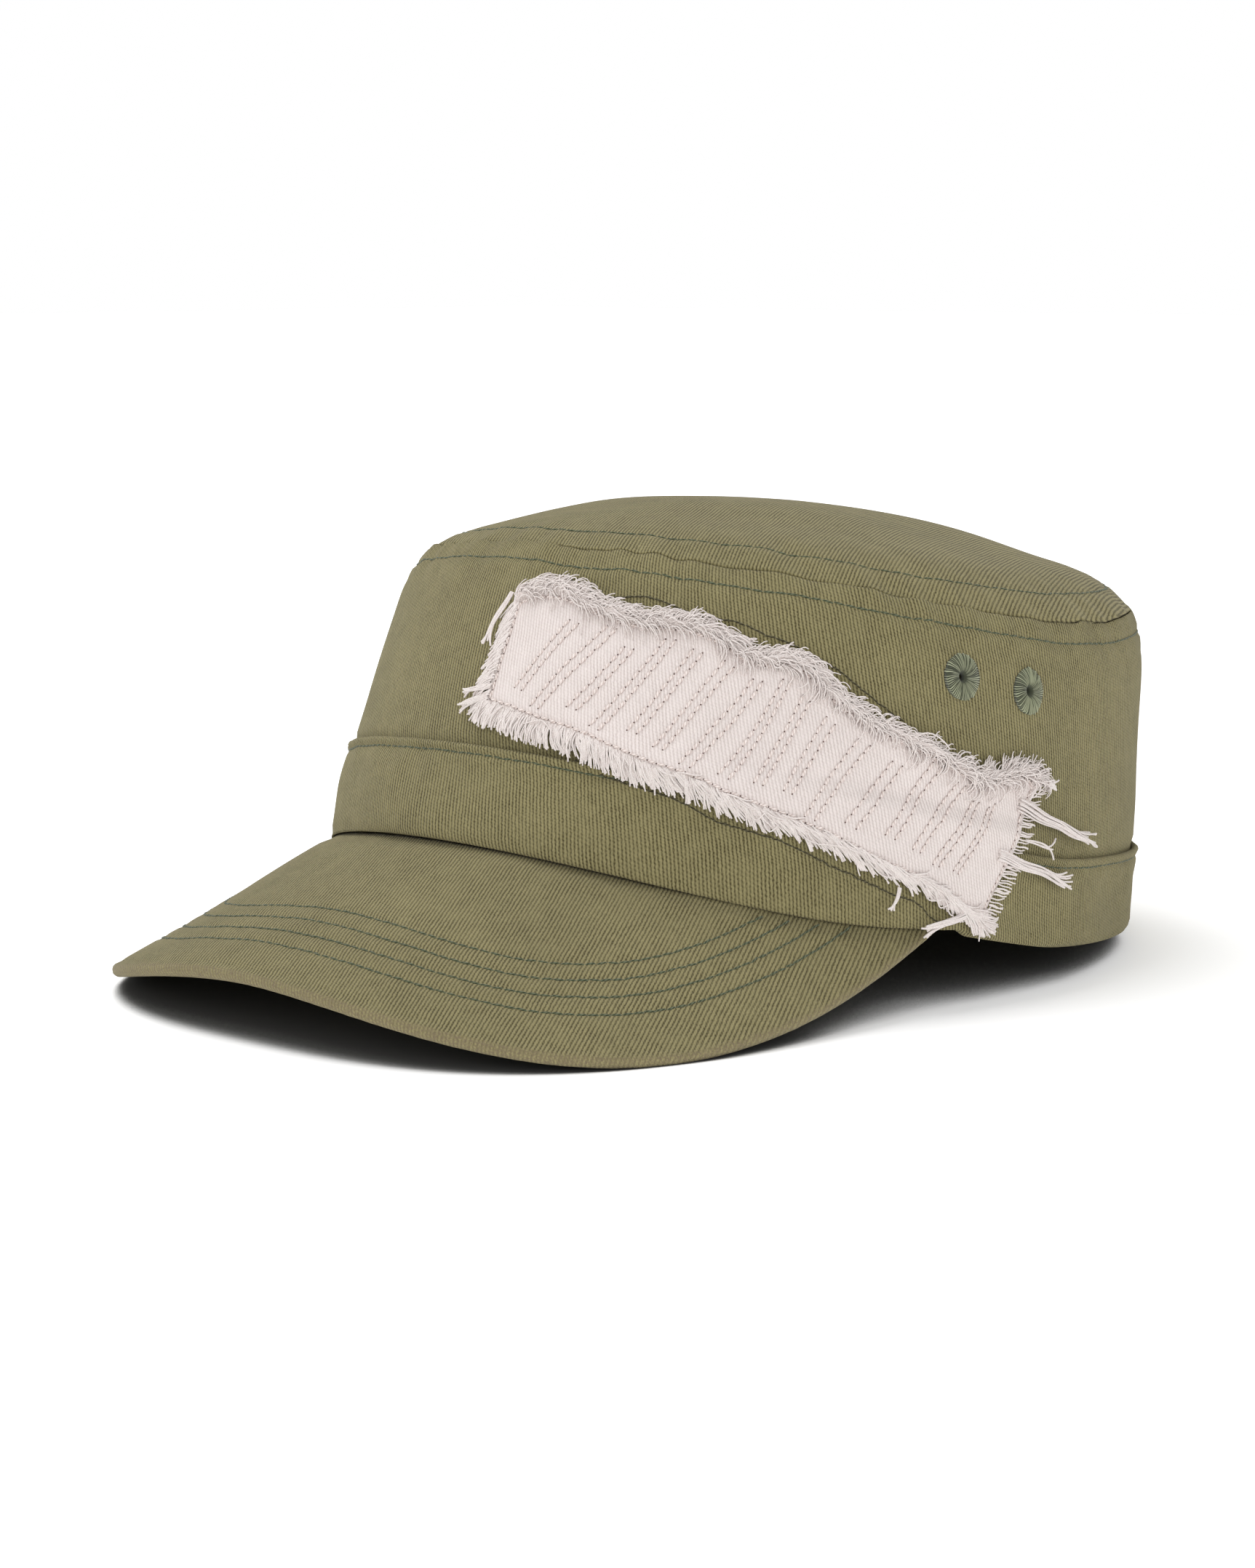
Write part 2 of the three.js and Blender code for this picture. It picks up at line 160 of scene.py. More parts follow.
def unit(vectors: Array) -> Array:
    """Vectors scaled to a length of 1."""
    return vectors / np.maximum(np.linalg.norm(vectors, axis=-1, keepdims=True), 1e-12)


@dataclass(frozen=True)
class CapShape:
    """Outline of the cap, the same as the solids have."""

    rim_length: float = 0.606
    length_to_width: float = 1.11
    front_rise: float = 0.0044
    back_rise: float = 0.0104
    easing: float = 0.15
    side_height: float = 0.073
    front_height_change: float = -0.0046
    ends_height_change: float = 0.0014
    front_taper: float = 0.0202
    side_taper: float = 0.003
    back_taper: float = 0.0181
    taper_power: float = 1.3
    seam_squareness: float = 2.13
    dome_height: float = 0.0175
    dome_power: float = 2.16
    shoulder_from: float = 0.84
    shoulder_pull: float = 0.0034
    top_shoulder_from: float = 0.86
    top_shoulder_lift: float = 0.0023
    band_front: float = 0.0222
    band_side: float = 0.0203
    cloth: float = 0.0016
    gap: float = 0.0003
    pitch: float = math.radians(12.1)
    moved_left: float = -0.00157
    moved_back: float = 0.02364
    moved_up: float = -0.0105

    @property
    def half_width(self) -> float:
        """Half the rim's width."""
        return self.rim_length / (TURN * math.sqrt((1 + self.length_to_width**2) / 2))

    @property
    def half_length(self) -> float:
        """Half the rim's length from front to back."""
        return self.half_width * self.length_to_width

    def oval(
        self, angle: Array, lengthwise: Array, sideways: Array, squareness: Array = 2.0
    ) -> tuple[Array, Array]:
        """Point of an oval seen from above.

        Args:
            angle: Angle from the front towards the wearer's left.
            lengthwise: Half the oval's length.
            sideways: Half its width.
            squareness: 2 for an ellipse, and more for squarer corners.

        Returns:
            The point's x and y.
        """
        front = np.abs(np.cos(angle) / lengthwise) ** squareness
        side = np.abs(np.sin(angle) / sideways) ** squareness
        radius = (front + side) ** (-1.0 / squareness)
        return radius * np.sin(angle), -radius * np.cos(angle)

    def rim_height(self, angle: Array) -> Array:
        """Height of the crown's lower edge.

        Args:
            angle: Angles round the cap.

        Returns:
            Heights in the cap's own frame.
        """
        forward = np.cos(angle)
        behind = np.hypot(forward, self.easing) - self.easing
        all_behind = math.hypot(1.0, self.easing) - self.easing
        return np.where(forward > 0, self.front_rise * forward**2, self.back_rise * behind / all_behind)

    def wall_height(self, angle: Array) -> Array:
        """Height of the side wall from the rim to the top seam."""
        forward = np.cos(angle)
        return self.side_height + self.front_height_change * forward + self.ends_height_change * forward**2

    def band_height(self, angle: Array) -> Array:
        """Height of the band's folded edge above the rim."""
        forward = np.maximum(np.cos(angle), 0.0)
        return self.band_side + (self.band_front - self.band_side) * forward**2

    def side_point(self, angle: Array, share: Array) -> Array:
        """Points of the side wall's outer face.

        Args:
            angle: Angles round the cap.
            share: Shares of the way up, from the rim at 0 to the top seam at 1.

        Returns:
            The points in the cap's own frame.
        """
        taper = np.maximum(share, 0.0) ** self.taper_power
        over = np.maximum((share - self.shoulder_from) / (1 - self.shoulder_from), 0.0)
        shoulder = self.shoulder_pull * over**2
        end_taper = np.where(np.cos(angle) > 0, self.front_taper, self.back_taper)
        squareness = 2.0 + (self.seam_squareness - 2.0) * np.clip(share, 0.0, 1.0)
        lengthwise = self.half_length - end_taper * taper - shoulder
        sideways = self.half_width - self.side_taper * taper - shoulder
        x, y = self.oval(angle, lengthwise, sideways, squareness)
        z = self.rim_height(angle) + self.wall_height(angle) * share
        return np.stack([x, y, z], axis=-1)

    def top_point(self, angle: Array, share: Array) -> Array:
        """Points of the top panel's outer face.

        Args:
            angle: Angles round the cap.
            share: Shares of the way out, from the middle at 0 to the seam at 1.

        Returns:
            The points in the cap's own frame.
        """
        seam = self.side_point(angle, np.ones_like(share))
        front = float(self.rim_height(0.0) + self.wall_height(0.0))
        back = float(self.rim_height(math.pi) + self.wall_height(math.pi))
        middle = (front + back) / 4 + self.side_height / 2
        slant = (front - back) / 2 * np.cos(angle)
        saddle = seam[..., 2] - middle - slant
        dome = self.dome_height * (1 - np.abs(share) ** self.dome_power)
        edge = np.maximum((share - self.top_shoulder_from) / (1 - self.top_shoulder_from), 0.0) ** 2
        z = middle + slant * share + saddle * share**2 + dome + self.top_shoulder_lift * (1 - edge)
        return np.stack([seam[..., 0] * share, seam[..., 1] * share, z], axis=-1)

    def shell_point(self, angle: Array, run: Array) -> Array:
        """Points of the outer face.

        Args:
            angle: Angles round the cap.
            run: Runs up the cap.

        Returns:
            The points in the cap's own frame.
        """
        angle, run = np.broadcast_arrays(np.asarray(angle, float), np.asarray(run, float))
        side = self.side_point(angle, np.minimum(run, 1.0))
        top = self.top_point(angle, np.clip(2.0 - run, 0.0, 1.0))
        return np.where((run <= 1.0)[..., None], side, top)

    def shell_normal(self, angle: Array, run: Array) -> Array:
        """Outward directions of the outer face, evened out across the top seam.

        Args:
            angle: Angles round the cap.
            run: Runs up the cap.

        Returns:
            Directions of length 1.
        """
        angle, run = np.broadcast_arrays(np.asarray(angle, float), np.asarray(run, float))
        turn, climb, last = 0.02, 0.025, 1.97
        middle = np.clip(run, 0.0, last)
        along = self.shell_point(angle + turn, middle) - self.shell_point(angle - turn, middle)
        upward = self.shell_point(angle, middle + climb) - self.shell_point(angle, middle - climb)
        return unit(np.cross(along, upward))

    def off_shell(self, angle: Array, run: Array, off: Array) -> Array:
        """Points at a distance off the outer face."""
        normal = self.shell_normal(angle, run)
        return self.shell_point(angle, run) + normal * np.asarray(off, float)[..., None]

    def set_down(self, points: Array) -> Array:
        """Moves points from the cap's own frame to where it lies.

        Args:
            points: Points in the cap's own frame.

        Returns:
            The points in the shared frame, none of them under the surface that the cap lies on.
        """
        cosine, sine = math.cos(self.pitch), math.sin(self.pitch)
        behind = points[..., 1] - self.half_length
        y = self.half_length + self.moved_back + behind * cosine + points[..., 2] * sine
        z = self.moved_up - behind * sine + points[..., 2] * cosine
        return np.stack([points[..., 0] + self.moved_left, y, np.maximum(z, 0.0)], axis=-1)


SHAPE = CapShape()


class Graph:
    """A material's nodes, made by short calls that each return an output socket."""

    def __init__(self, name: str) -> None:
        """Starts an empty material.

        Args:
            name: The material's name.
        """
        self.material = bpy.data.materials.new(name)
        self.material.use_nodes = True
        self.tree = self.material.node_tree
        self.tree.nodes.clear()

    def node(self, kind: str, **settings: object) -> bpy.types.Node:
        """Adds a node.

        Args:
            kind: The node's type.
            settings: Properties to set on it.

        Returns:
            The new node.
        """
        made = self.tree.nodes.new(kind)
        for key, value in settings.items():
            setattr(made, key, value)
        return made

    def feed(self, socket: bpy.types.NodeSocket, value: object) -> None:
        """Links a socket to value, or sets it where value is a number or a colour."""
        if isinstance(value, bpy.types.NodeSocket):
            self.tree.links.new(value, socket)
        else:
            socket.default_value = value

    def math(self, operation: str, *values: object, clamp: bool = False) -> bpy.types.NodeSocket:
        """Math on numbers or sockets.

        Args:
            operation: Which operation.
            values: What it works on.
            clamp: Whether the result is kept between 0 and 1.

        Returns:
            The result's socket.
        """
        made = self.node("ShaderNodeMath", operation=operation, use_clamp=clamp)
        for socket, value in zip(made.inputs, values):
            self.feed(socket, value)
        return made.outputs[0]

    def mix(self, share: object, first: object, second: object, blend: str = "MIX") -> bpy.types.NodeSocket:
        """Colour mixed of two colours.

        Args:
            share: How much the second colour counts.
            first: The first colour.
            second: The second colour.
            blend: How they are mixed.

        Returns:
            The colour's socket.
        """
        made = self.node("ShaderNodeMix", data_type="RGBA", blend_type=blend, clamp_factor=True)
        for index, value in ((0, share), (6, first), (7, second)):
            self.feed(made.inputs[index], value)
        return made.outputs[2]

    def step(self, value: object, low: float, high: float) -> bpy.types.NodeSocket:
        """Smooth step of a value.

        Args:
            value: The value.
            low: Where the step is 0.
            high: Where the step is 1.

        Returns:
            The step's socket.
        """
        made = self.node("ShaderNodeMapRange", interpolation_type="SMOOTHSTEP")
        for index, number in ((0, value), (1, low), (2, high), (3, 0.0), (4, 1.0)):
            self.feed(made.inputs[index], number)
        return made.outputs[0]

    def object_noise(self, size: float, detail: float = 2.0) -> bpy.types.NodeSocket:
        """Noise from 0 to 1 in space.

        Args:
            size: Size of its lumps in metres.
            detail: How many finer layers it has.

        Returns:
            The noise's socket.
        """
        where = self.node("ShaderNodeTexCoord").outputs["Object"]
        made = self.node("ShaderNodeTexNoise")
        self.feed(made.inputs["Vector"], where)
        self.feed(made.inputs["Scale"], 1.0 / size)
        self.feed(made.inputs["Detail"], detail)
        return made.outputs["Fac"]

    def cloth_axes(self) -> tuple[bpy.types.NodeSocket, bpy.types.NodeSocket]:
        """The two coordinates of the piece's cloth.

        Returns:
            Sockets of both coordinates, in metres.
        """
        where = self.node("ShaderNodeUVMap", uv_map=CLOTH_MAP).outputs[0]
        split = self.node("ShaderNodeSeparateXYZ")
        self.feed(split.inputs[0], where)
        return split.outputs[0], split.outputs[1]

    def attribute(self, name: str) -> bpy.types.NodeSocket:
        """A number kept on the piece's points."""
        return self.node("ShaderNodeAttribute", attribute_name=name).outputs["Fac"]

    def bump(self, height: object, distance: float) -> bpy.types.NodeSocket:
        """Surface direction for a height.

        Args:
            height: Height from 0 to 1.
            distance: How deep that is, in metres.

        Returns:
            The direction's socket.
        """
        made = self.node("ShaderNodeBump")
        self.feed(made.inputs["Strength"], 1.0)
        self.feed(made.inputs["Distance"], distance)
        self.feed(made.inputs["Height"], height)
        return made.outputs[0]

    def cloth_shader(self, colour: object, normal: object, roughness: float, sheen: float) -> None:
        """Ends the material with a dull, slightly downy surface.

        Args:
            colour: The surface's colour.
            normal: The surface's direction.
            roughness: How dull it is.
            sheen: How downy it is.
        """
        shader = self.node("ShaderNodeBsdfPrincipled")
        self.feed(shader.inputs["Base Color"], colour)
        self.feed(shader.inputs["Normal"], normal)
        self.feed(shader.inputs["Roughness"], roughness)
        self.feed(shader.inputs["Specular IOR Level"], 0.2)
        self.feed(shader.inputs["Sheen Weight"], sheen)
        self.feed(shader.inputs["Sheen Roughness"], 0.5)
        output = self.node("ShaderNodeOutputMaterial")
        self.feed(output.inputs[0], shader.outputs[0])


Colour = tuple[float, float, float, float]


def srgb(red: int, green: int, blue: int) -> Colour:
    """Linear colour of an 8-bit screen colour."""
    def linear(level: int) -> float:
        """Linear value of one channel."""
        share = level / 255
        return share / 12.92 if share <= 0.04045 else ((share + 0.055) / 1.055) ** 2.4

    return linear(red), linear(green), linear(blue), 1.0


@dataclass(frozen=True)
class TwillFinish:
    """Cotton twill: slanted ribs, each a row of short yarn floats, with painted shade in the valleys between
    ribs and in the small dark gaps between floats, and a painted highlight on each float.
    """

    name: str
    yarn: Colour
    valley: Colour
    gap: Colour
    worn: Colour
    lean: float
    rib: float = 0.83 * MM
    float_length: float = 0.72 * MM
    depth: float = 0.17 * MM
    # gap_strength scales the painted shade in the valleys and gaps; float_strength scales the painted shade
    # in the gaps and the painted highlight on the floats.
    gap_strength: float = 0.7
    float_strength: float = 0.8
    mottle: float = 0.19
    sheen: float = 0.08
    fibre_size: float = 0.35 * MM
    yarn_size: float = 2.2 * MM
    cloud_size: float = 26 * MM
    wander_size: float = 0.6 * MM
    broad_wander_size: float = 9 * MM
    fading_size: float = 5 * MM
    speckle_size: float = 0.4 * MM
    worn_flat: float = 0.6

    def material(self) -> bpy.types.Material:
        """Makes the finish.

        Returns:
            A material that reads the piece's cloth coordinates and its wear.
        """
        graph = Graph(self.name)
        across, along = graph.cloth_axes()
        cosine, sine = math.cos(self.lean), math.sin(self.lean)
        broad_noise = graph.object_noise(self.broad_wander_size)
        broad = graph.math("MULTIPLY_ADD", broad_noise, 0.5 * self.rib, -0.25 * self.rib)
        wander = graph.math("MULTIPLY_ADD", graph.object_noise(self.wander_size), 0.62 * self.rib, broad)
        along_share = graph.math("MULTIPLY", along, sine)
        turned = graph.math("ADD", graph.math("MULTIPLY", across, cosine), along_share)
        sideways = graph.math("ADD", turned, wander)
        lengthwise = graph.math(
            "SUBTRACT", graph.math("MULTIPLY", along, cosine), graph.math("MULTIPLY", across, sine)
        )
        rib_phase = graph.math("MULTIPLY", sideways, TURN / self.rib)
        rib = graph.math("MULTIPLY_ADD", graph.math("SINE", rib_phase), 0.5, 0.5)
        step_aside = graph.math("MULTIPLY", rib_phase, 0.62)
        float_phase = graph.math("MULTIPLY_ADD", lengthwise, TURN / self.float_length, step_aside)
        floats = graph.math("MULTIPLY_ADD", graph.math("SINE", float_phase), 0.5, 0.5)
        fibres = graph.object_noise(self.fibre_size, 3.0)
        yarns = graph.object_noise(self.yarn_size, 3.0)
        clouds = graph.object_noise(self.cloud_size, 3.0)
        # Painted shade along each rib's valley, and darker painted shade in the small gaps between floats.
        valley = graph.step(rib, 0.62, 0.12)
        hole = graph.math("MULTIPLY", graph.step(rib, 0.42, 0.1), graph.step(floats, 0.25, 0.8))
        hole = graph.math("MULTIPLY", hole, self.float_strength)
        # twist is a painted highlight on each float.
        twist = graph.math("MULTIPLY", rib, graph.step(floats, 0.7, 0.1))
        wear = graph.attribute(WEAR_AND_RIDGE_LIGHT)
        # Wear flattens the weave, weakening its painted shade.
        worn_down = graph.math("MULTIPLY_ADD", wear, -self.worn_flat * self.gap_strength, self.gap_strength)
        fading = graph.step(graph.object_noise(self.fading_size, 3.0), 0.25, 0.7)
        uneven = graph.math("MULTIPLY_ADD", fading, 0.45, 0.6)
        uneven = graph.math("MULTIPLY", uneven, graph.math("MULTIPLY_ADD", fibres, 0.9, 0.55))
        strength = graph.math("MULTIPLY", worn_down, uneven)
        shaded = graph.mix(graph.math("MULTIPLY", valley, strength, clamp=True), self.yarn, self.valley)
        base = graph.mix(graph.math("MULTIPLY", hole, strength, clamp=True), shaded, self.gap)
        light = graph.math("ADD", graph.math("MULTIPLY", fibres, 0.6), graph.math("MULTIPLY", yarns, 0.4))
        tone = graph.math("ADD", graph.math("MULTIPLY", light, 0.6), graph.math("MULTIPLY", clouds, 0.4))
        gain = graph.math("MULTIPLY_ADD", graph.math("SUBTRACT", tone, 0.5), 4 * self.mottle, 0.97)
        # Adds the painted highlight on the floats.
        gain = graph.math("MULTIPLY_ADD", twist, 0.14 * self.float_strength, gain)
        grey = graph.node("ShaderNodeCombineColor")
        for socket in grey.inputs[:3]:
            graph.feed(socket, gain)
        scaled = graph.mix(1.0, base, grey.outputs[0], blend="MULTIPLY")
        speckle = graph.step(graph.object_noise(self.speckle_size, 3.0), 0.3, 0.7)
        rubbed = graph.mix(speckle, scaled, self.worn)
        colour = graph.mix(wear, scaled, rubbed)
        ridges = graph.math("MULTIPLY", rib, graph.math("MULTIPLY_ADD", wear, -self.worn_flat, 1.0))
        height = graph.math("SUBTRACT", ridges, graph.math("MULTIPLY", hole, 0.45))
        height = graph.math("ADD", height, graph.math("MULTIPLY", fibres, 0.5))
        graph.cloth_shader(colour, graph.bump(height, self.depth), 0.92, self.sheen)
        return graph.material


class Ply(Enum):
    """What gives a thread its light and dark: painted highlights and painted shade along its twist, the same
    painted light on ridges side by side, or only a random tone from its fibres.
    """

    TWISTED = "twisted"
    RIDGED = "ridged"
    PLAIN = "plain"


@dataclass(frozen=True)
class ThreadFinish:
    """Sewing thread or yarn."""

    name: str
    # For twisted and ridged thread, light is its painted highlight and dark its painted shade; for plain
    # thread they bound a random tone.
    light: Colour
    dark: Colour
    ply: Ply = Ply.TWISTED
    depth: float = 0.08 * MM
    sheen: float = 0.2
    fibre_size: float = 0.18 * MM
    lot_size: float = 3.0 * MM
    twists: float = 3.2
    plies: int = 2

    def material(self) -> bpy.types.Material:
        """Makes the finish.

        Returns:
            A material for threads of this ply.
        """
        graph = Graph(self.name)
        fibres = graph.object_noise(self.fibre_size, 3.0)
        lots = graph.object_noise(self.lot_size, 2.0)
        if self.ply is Ply.TWISTED:
            # Painted highlight along each ply of the twist, painted shade between the plies.
            around, along = graph.cloth_axes()
            round_phase = graph.math("MULTIPLY", around, self.plies * TURN)
            phase = graph.math("MULTIPLY_ADD", along, self.twists * TURN, round_phase)
            ply = graph.math("MULTIPLY_ADD", graph.math("SINE", phase), 0.5, 0.5)
        elif self.ply is Ply.RIDGED:
            # Ridged thread takes its painted highlight and painted shade from the attribute that the eyelets
            # write.
            ply = graph.step(graph.attribute(WEAR_AND_RIDGE_LIGHT), 0.1, 1.0)
        else:
            ply = graph.step(fibres, 0.3, 0.6)
        lot = graph.math("MULTIPLY", lots, 0.3)
        share = graph.math("MULTIPLY_ADD", graph.step(ply, 0.0, 0.7), 0.75, lot, clamp=True)
        colour = graph.mix(share, self.dark, self.light)
        height = graph.math("ADD", ply, graph.math("MULTIPLY", fibres, 0.4))
        graph.cloth_shader(colour, graph.bump(height, self.depth), 0.8, self.sheen)
        return graph.material


# Twill colours: the yarn, the painted shade in rib valleys and the darker painted shade in the gaps; the pale
# set then adds its worn colour.
OLIVE = (srgb(142, 134, 96), srgb(81, 73, 44), srgb(54, 47, 25))
WORN_OLIVE = srgb(150, 143, 112)
PALE = (srgb(229, 219, 215), srgb(200, 187, 182), srgb(188, 173, 167), srgb(232, 224, 220))


@dataclass(frozen=True)
class Finishes:
    """The cap's cloths and threads."""

    side: TwillFinish = TwillFinish("olive_twill_side", *OLIVE, WORN_OLIVE, math.radians(15))
    top: TwillFinish = TwillFinish("olive_twill_top", *OLIVE, WORN_OLIVE, 0.0)
    peak: TwillFinish = TwillFinish(
        "olive_twill_peak", *OLIVE, srgb(119, 107, 84), math.radians(-5), rib=0.86 * MM
    )
    patch: TwillFinish = TwillFinish(
        "pale_twill",
        *PALE,
        lean=math.radians(17),
        rib=0.8 * MM,
        depth=0.1 * MM,
        gap_strength=0.6,
        float_strength=0.35,
        mottle=0.05,
    )
    # Twisted threads (topstitch, outline, quilting): the first colour is a painted highlight on the plies,
    # the second the painted shade between them.
    topstitch: ThreadFinish = ThreadFinish("green_topstitch", srgb(101, 108, 82), srgb(41, 47, 32))
    # Satin: light is the painted highlight on the eyelet threads' ridges, dark the painted shade between them
    # and in the hole.
    satin: ThreadFinish = ThreadFinish("green_satin", srgb(176, 180, 150), srgb(46, 52, 38), Ply.RIDGED)
    outline: ThreadFinish = ThreadFinish("dark_stitch", srgb(88, 82, 56), srgb(38, 34, 20))
    quilting: ThreadFinish = ThreadFinish("beige_stitch", srgb(242, 232, 227), srgb(198, 180, 173))
    # Needle holes: both colours are painted shade inside the holes.
    needle_hole_shade: ThreadFinish = ThreadFinish("needle_hole_shade", srgb(122, 98, 90), srgb(78, 58, 52), Ply.PLAIN)
    fringe: ThreadFinish = ThreadFinish(
        "pale_yarn", srgb(240, 232, 228), srgb(206, 192, 187), Ply.PLAIN, 0.04 * MM
    )


def dressed(
    name: str, bm: bmesh.types.BMesh, material: bpy.types.Material, slot: Slot, *replaced: str
) -> bpy.types.Object:
    """Makes a finished piece of a shaped mesh and ties it to the frame.

    Args:
        name: The piece's name.
        bm: Its mesh, in place in the shared frame. It is freed.
        material: Its finish.
        slot: The record's slot that the finish belongs to.
        replaced: The nodes that the piece stands for.

    Returns:
        The new object.
    """
    for face in bm.faces:
        face.smooth = True
    mesh = bpy.data.meshes.new(name)
    bm.to_mesh(mesh)
    bm.free()
    return tied(bpy.data.objects.new(name, mesh), material, slot, *replaced)


def tied(
    piece: bpy.types.Object, material: bpy.types.Material, slot: Slot, *replaced: str
) -> bpy.types.Object:
    """Puts a piece in the scene with its finish, and ties it to the frame.

    Args:
        piece: The piece, with its mesh in place.
        material: Its finish.
        slot: The record's slot that the finish belongs to; not used.
        replaced: The nodes that the piece stands for.

    Returns:
        The piece.
    """
    bpy.context.scene.collection.objects.link(piece)
    piece.data.materials.append(material)
    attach(piece, "root")
    if replaced:
        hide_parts(*replaced)
    log.info("%s: %d faces", piece.name, len(piece.data.polygons))
    return piece


@dataclass
class Laid:
    """Where a sheet of cloth lies: a point, a place on its cloth and a wear for each place asked for."""

    points: Array
    cloth: Array
    wear: Array


def wrapped_sheet(columns: int, rows: int, lay: Callable[[Array, Array], Laid]) -> bmesh.types.BMesh:
    """Grid of cloth wrapped onto a surface, with the edges that meet joined.

    Args:
        columns: Faces across.
        rows: Faces up.
        lay: Gives where the cloth lies for shares from 0 to 1 across and up.

    Returns:
        The mesh in the shared frame, with its cloth coordinates and its wear.
    """
    bm = bmesh.new()
    bmesh.ops.create_grid(bm, x_segments=columns, y_segments=rows, size=0.5)
    bm.verts.index_update()
    shares = np.array([vert.co[:2] for vert in bm.verts]) + 0.5
    laid = lay(shares[:, 0], shares[:, 1])
    places = SHAPE.set_down(laid.points)
    cloth = bm.loops.layers.uv.new(CLOTH_MAP)
    wear = bm.verts.layers.float.new(WEAR_AND_RIDGE_LIGHT)
    for face in bm.faces:
        for loop in face.loops:
            loop[cloth].uv = laid.cloth[loop.vert.index]
    for vert, place, worn in zip(bm.verts, places, np.broadcast_to(laid.wear, len(places))):
        vert.co = place
        vert[wear] = worn
    bmesh.ops.remove_doubles(bm, verts=bm.verts, dist=2e-6)
    bmesh.ops.recalc_face_normals(bm, faces=bm.faces)
    return bm


@dataclass(frozen=True)
class Station:
    """One corner of a wall's section: a share of the way up, a shift up, and a distance off the face."""

    share: float
    shift: float
    off: float
    rows: int = 1


class Section:
    """A wall's section, walked from station to station."""

    def __init__(self, stations: list[Station]) -> None:
        """Keeps the stations, of which the last is the first again on a closed section."""
        self.stations = stations
        self.ends = np.cumsum([0] + [station.rows for station in stations[1:]])

    @property
    def rows(self) -> int:
        """Rows of faces along the whole section."""
        return int(self.ends[-1])

    def walk(self, share: Array) -> tuple[Array, Array, Array]:
        """Follows the section.

        Args:
            share: Shares of the way along it.

        Returns:
            The share up, the shift and the distance off at each.
        """
        at = np.round(share * self.rows)
        values = [(station.share, station.shift, station.off) for station in self.stations]
        return tuple(np.interp(at, self.ends, column) for column in np.array(values).T)


@dataclass
class Path:
    """A line on the cap's surface, as points with the surface's directions."""

    points: Array
    normals: Array

    def spaced(self, pitch: float) -> tuple[Array, Array]:
        """Points and directions at whole pitches along the line.

        Args:
            pitch: Distance between two points.

        Returns:
            The points and the surface's directions there, in the cap's own frame.
        """
        steps = np.linalg.norm(np.diff(self.points, axis=0), axis=1)
        along = np.concatenate([[0.0], np.cumsum(steps)])
        count = max(2, int(round(along[-1] / pitch)) + 1)
        at = np.linspace(0.0, along[-1], count)
        points = np.stack([np.interp(at, along, column) for column in self.points.T], axis=1)
        normals = np.stack([np.interp(at, along, column) for column in self.normals.T], axis=1)
        return points, unit(normals)


@dataclass(frozen=True)
class StitchStyle:
    """Size of a row's stitches."""

    pitch: float = 2.6 * MM
    length: float = 2.7 * MM
    radius: float = 0.23 * MM
    slant: float = 0.09
    sink: float = 0.12 * MM


def stitch_shape() -> bpy.types.Mesh:
    """Makes one blunt length of thread along Z, whose ends dip down Y.

    Returns:
        Its mesh, with coordinates round and along it.
    """
    bluntness, dip = 0.4, 0.9
    bm = bmesh.new()
    bm.loops.layers.uv.new(CLOTH_MAP)
    bmesh.ops.create_uvsphere(bm, u_segments=8, v_segments=7, radius=1.0, calc_uvs=True)
    for vert in bm.verts:
        across = math.hypot(vert.co.x, vert.co.y)
        blunt = max(across, 1e-6) ** -bluntness
        vert.co.x *= blunt
        vert.co.y = vert.co.y * blunt - dip * vert.co.z**4
    shape = bpy.data.meshes.new("stitch")
    bm.to_mesh(shape)
    bm.free()
    return shape


def sew(paths: list[Path], style: StitchStyle, seed: int) -> bmesh.types.BMesh:
    """Stitches along lines, each a short rounded length of thread whose ends dip into the cloth.

    Args:
        paths: The lines, in the cap's own frame.
        style: The stitches' sizes.
        seed: Seed of the small differences between stitches.

    Returns:
        The stitches' mesh in the shared frame.
    """
    chance = np.random.default_rng(seed)
    one = stitch_shape()
    bm = bmesh.new()
    for path in paths:
        points, normals = path.spaced(style.pitch)
        starts, ends = SHAPE.set_down(points[:-1]), SHAPE.set_down(points[1:])
        outward = SHAPE.set_down(points + normals * MM) - SHAPE.set_down(points)
        for start, end, direction in zip(starts, ends, unit(outward[:-1])):
            along = Vector(end - start).normalized()
            up = Vector(direction)
            side = up.cross(along).normalized()
            along = (along + side * chance.normal(0.0, style.slant)).normalized()
            up = along.cross(side).normalized()
            side = up.cross(along).normalized()
            length = style.length * chance.uniform(0.93, 1.06) / 2
            radius = style.radius * chance.uniform(0.92, 1.08)
            middle = Vector((start + end) / 2) + up * (radius - style.sink)
            turned = Matrix((side * radius, up * radius * 0.9, along * length)).transposed().to_4x4()
            stitch = one.copy()
            stitch.transform(Matrix.Translation(middle) @ turned)
            bm.from_mesh(stitch)
            bpy.data.meshes.remove(stitch)
    bpy.data.meshes.remove(one)
    bmesh.ops.recalc_face_normals(bm, faces=bm.faces)
    return bm


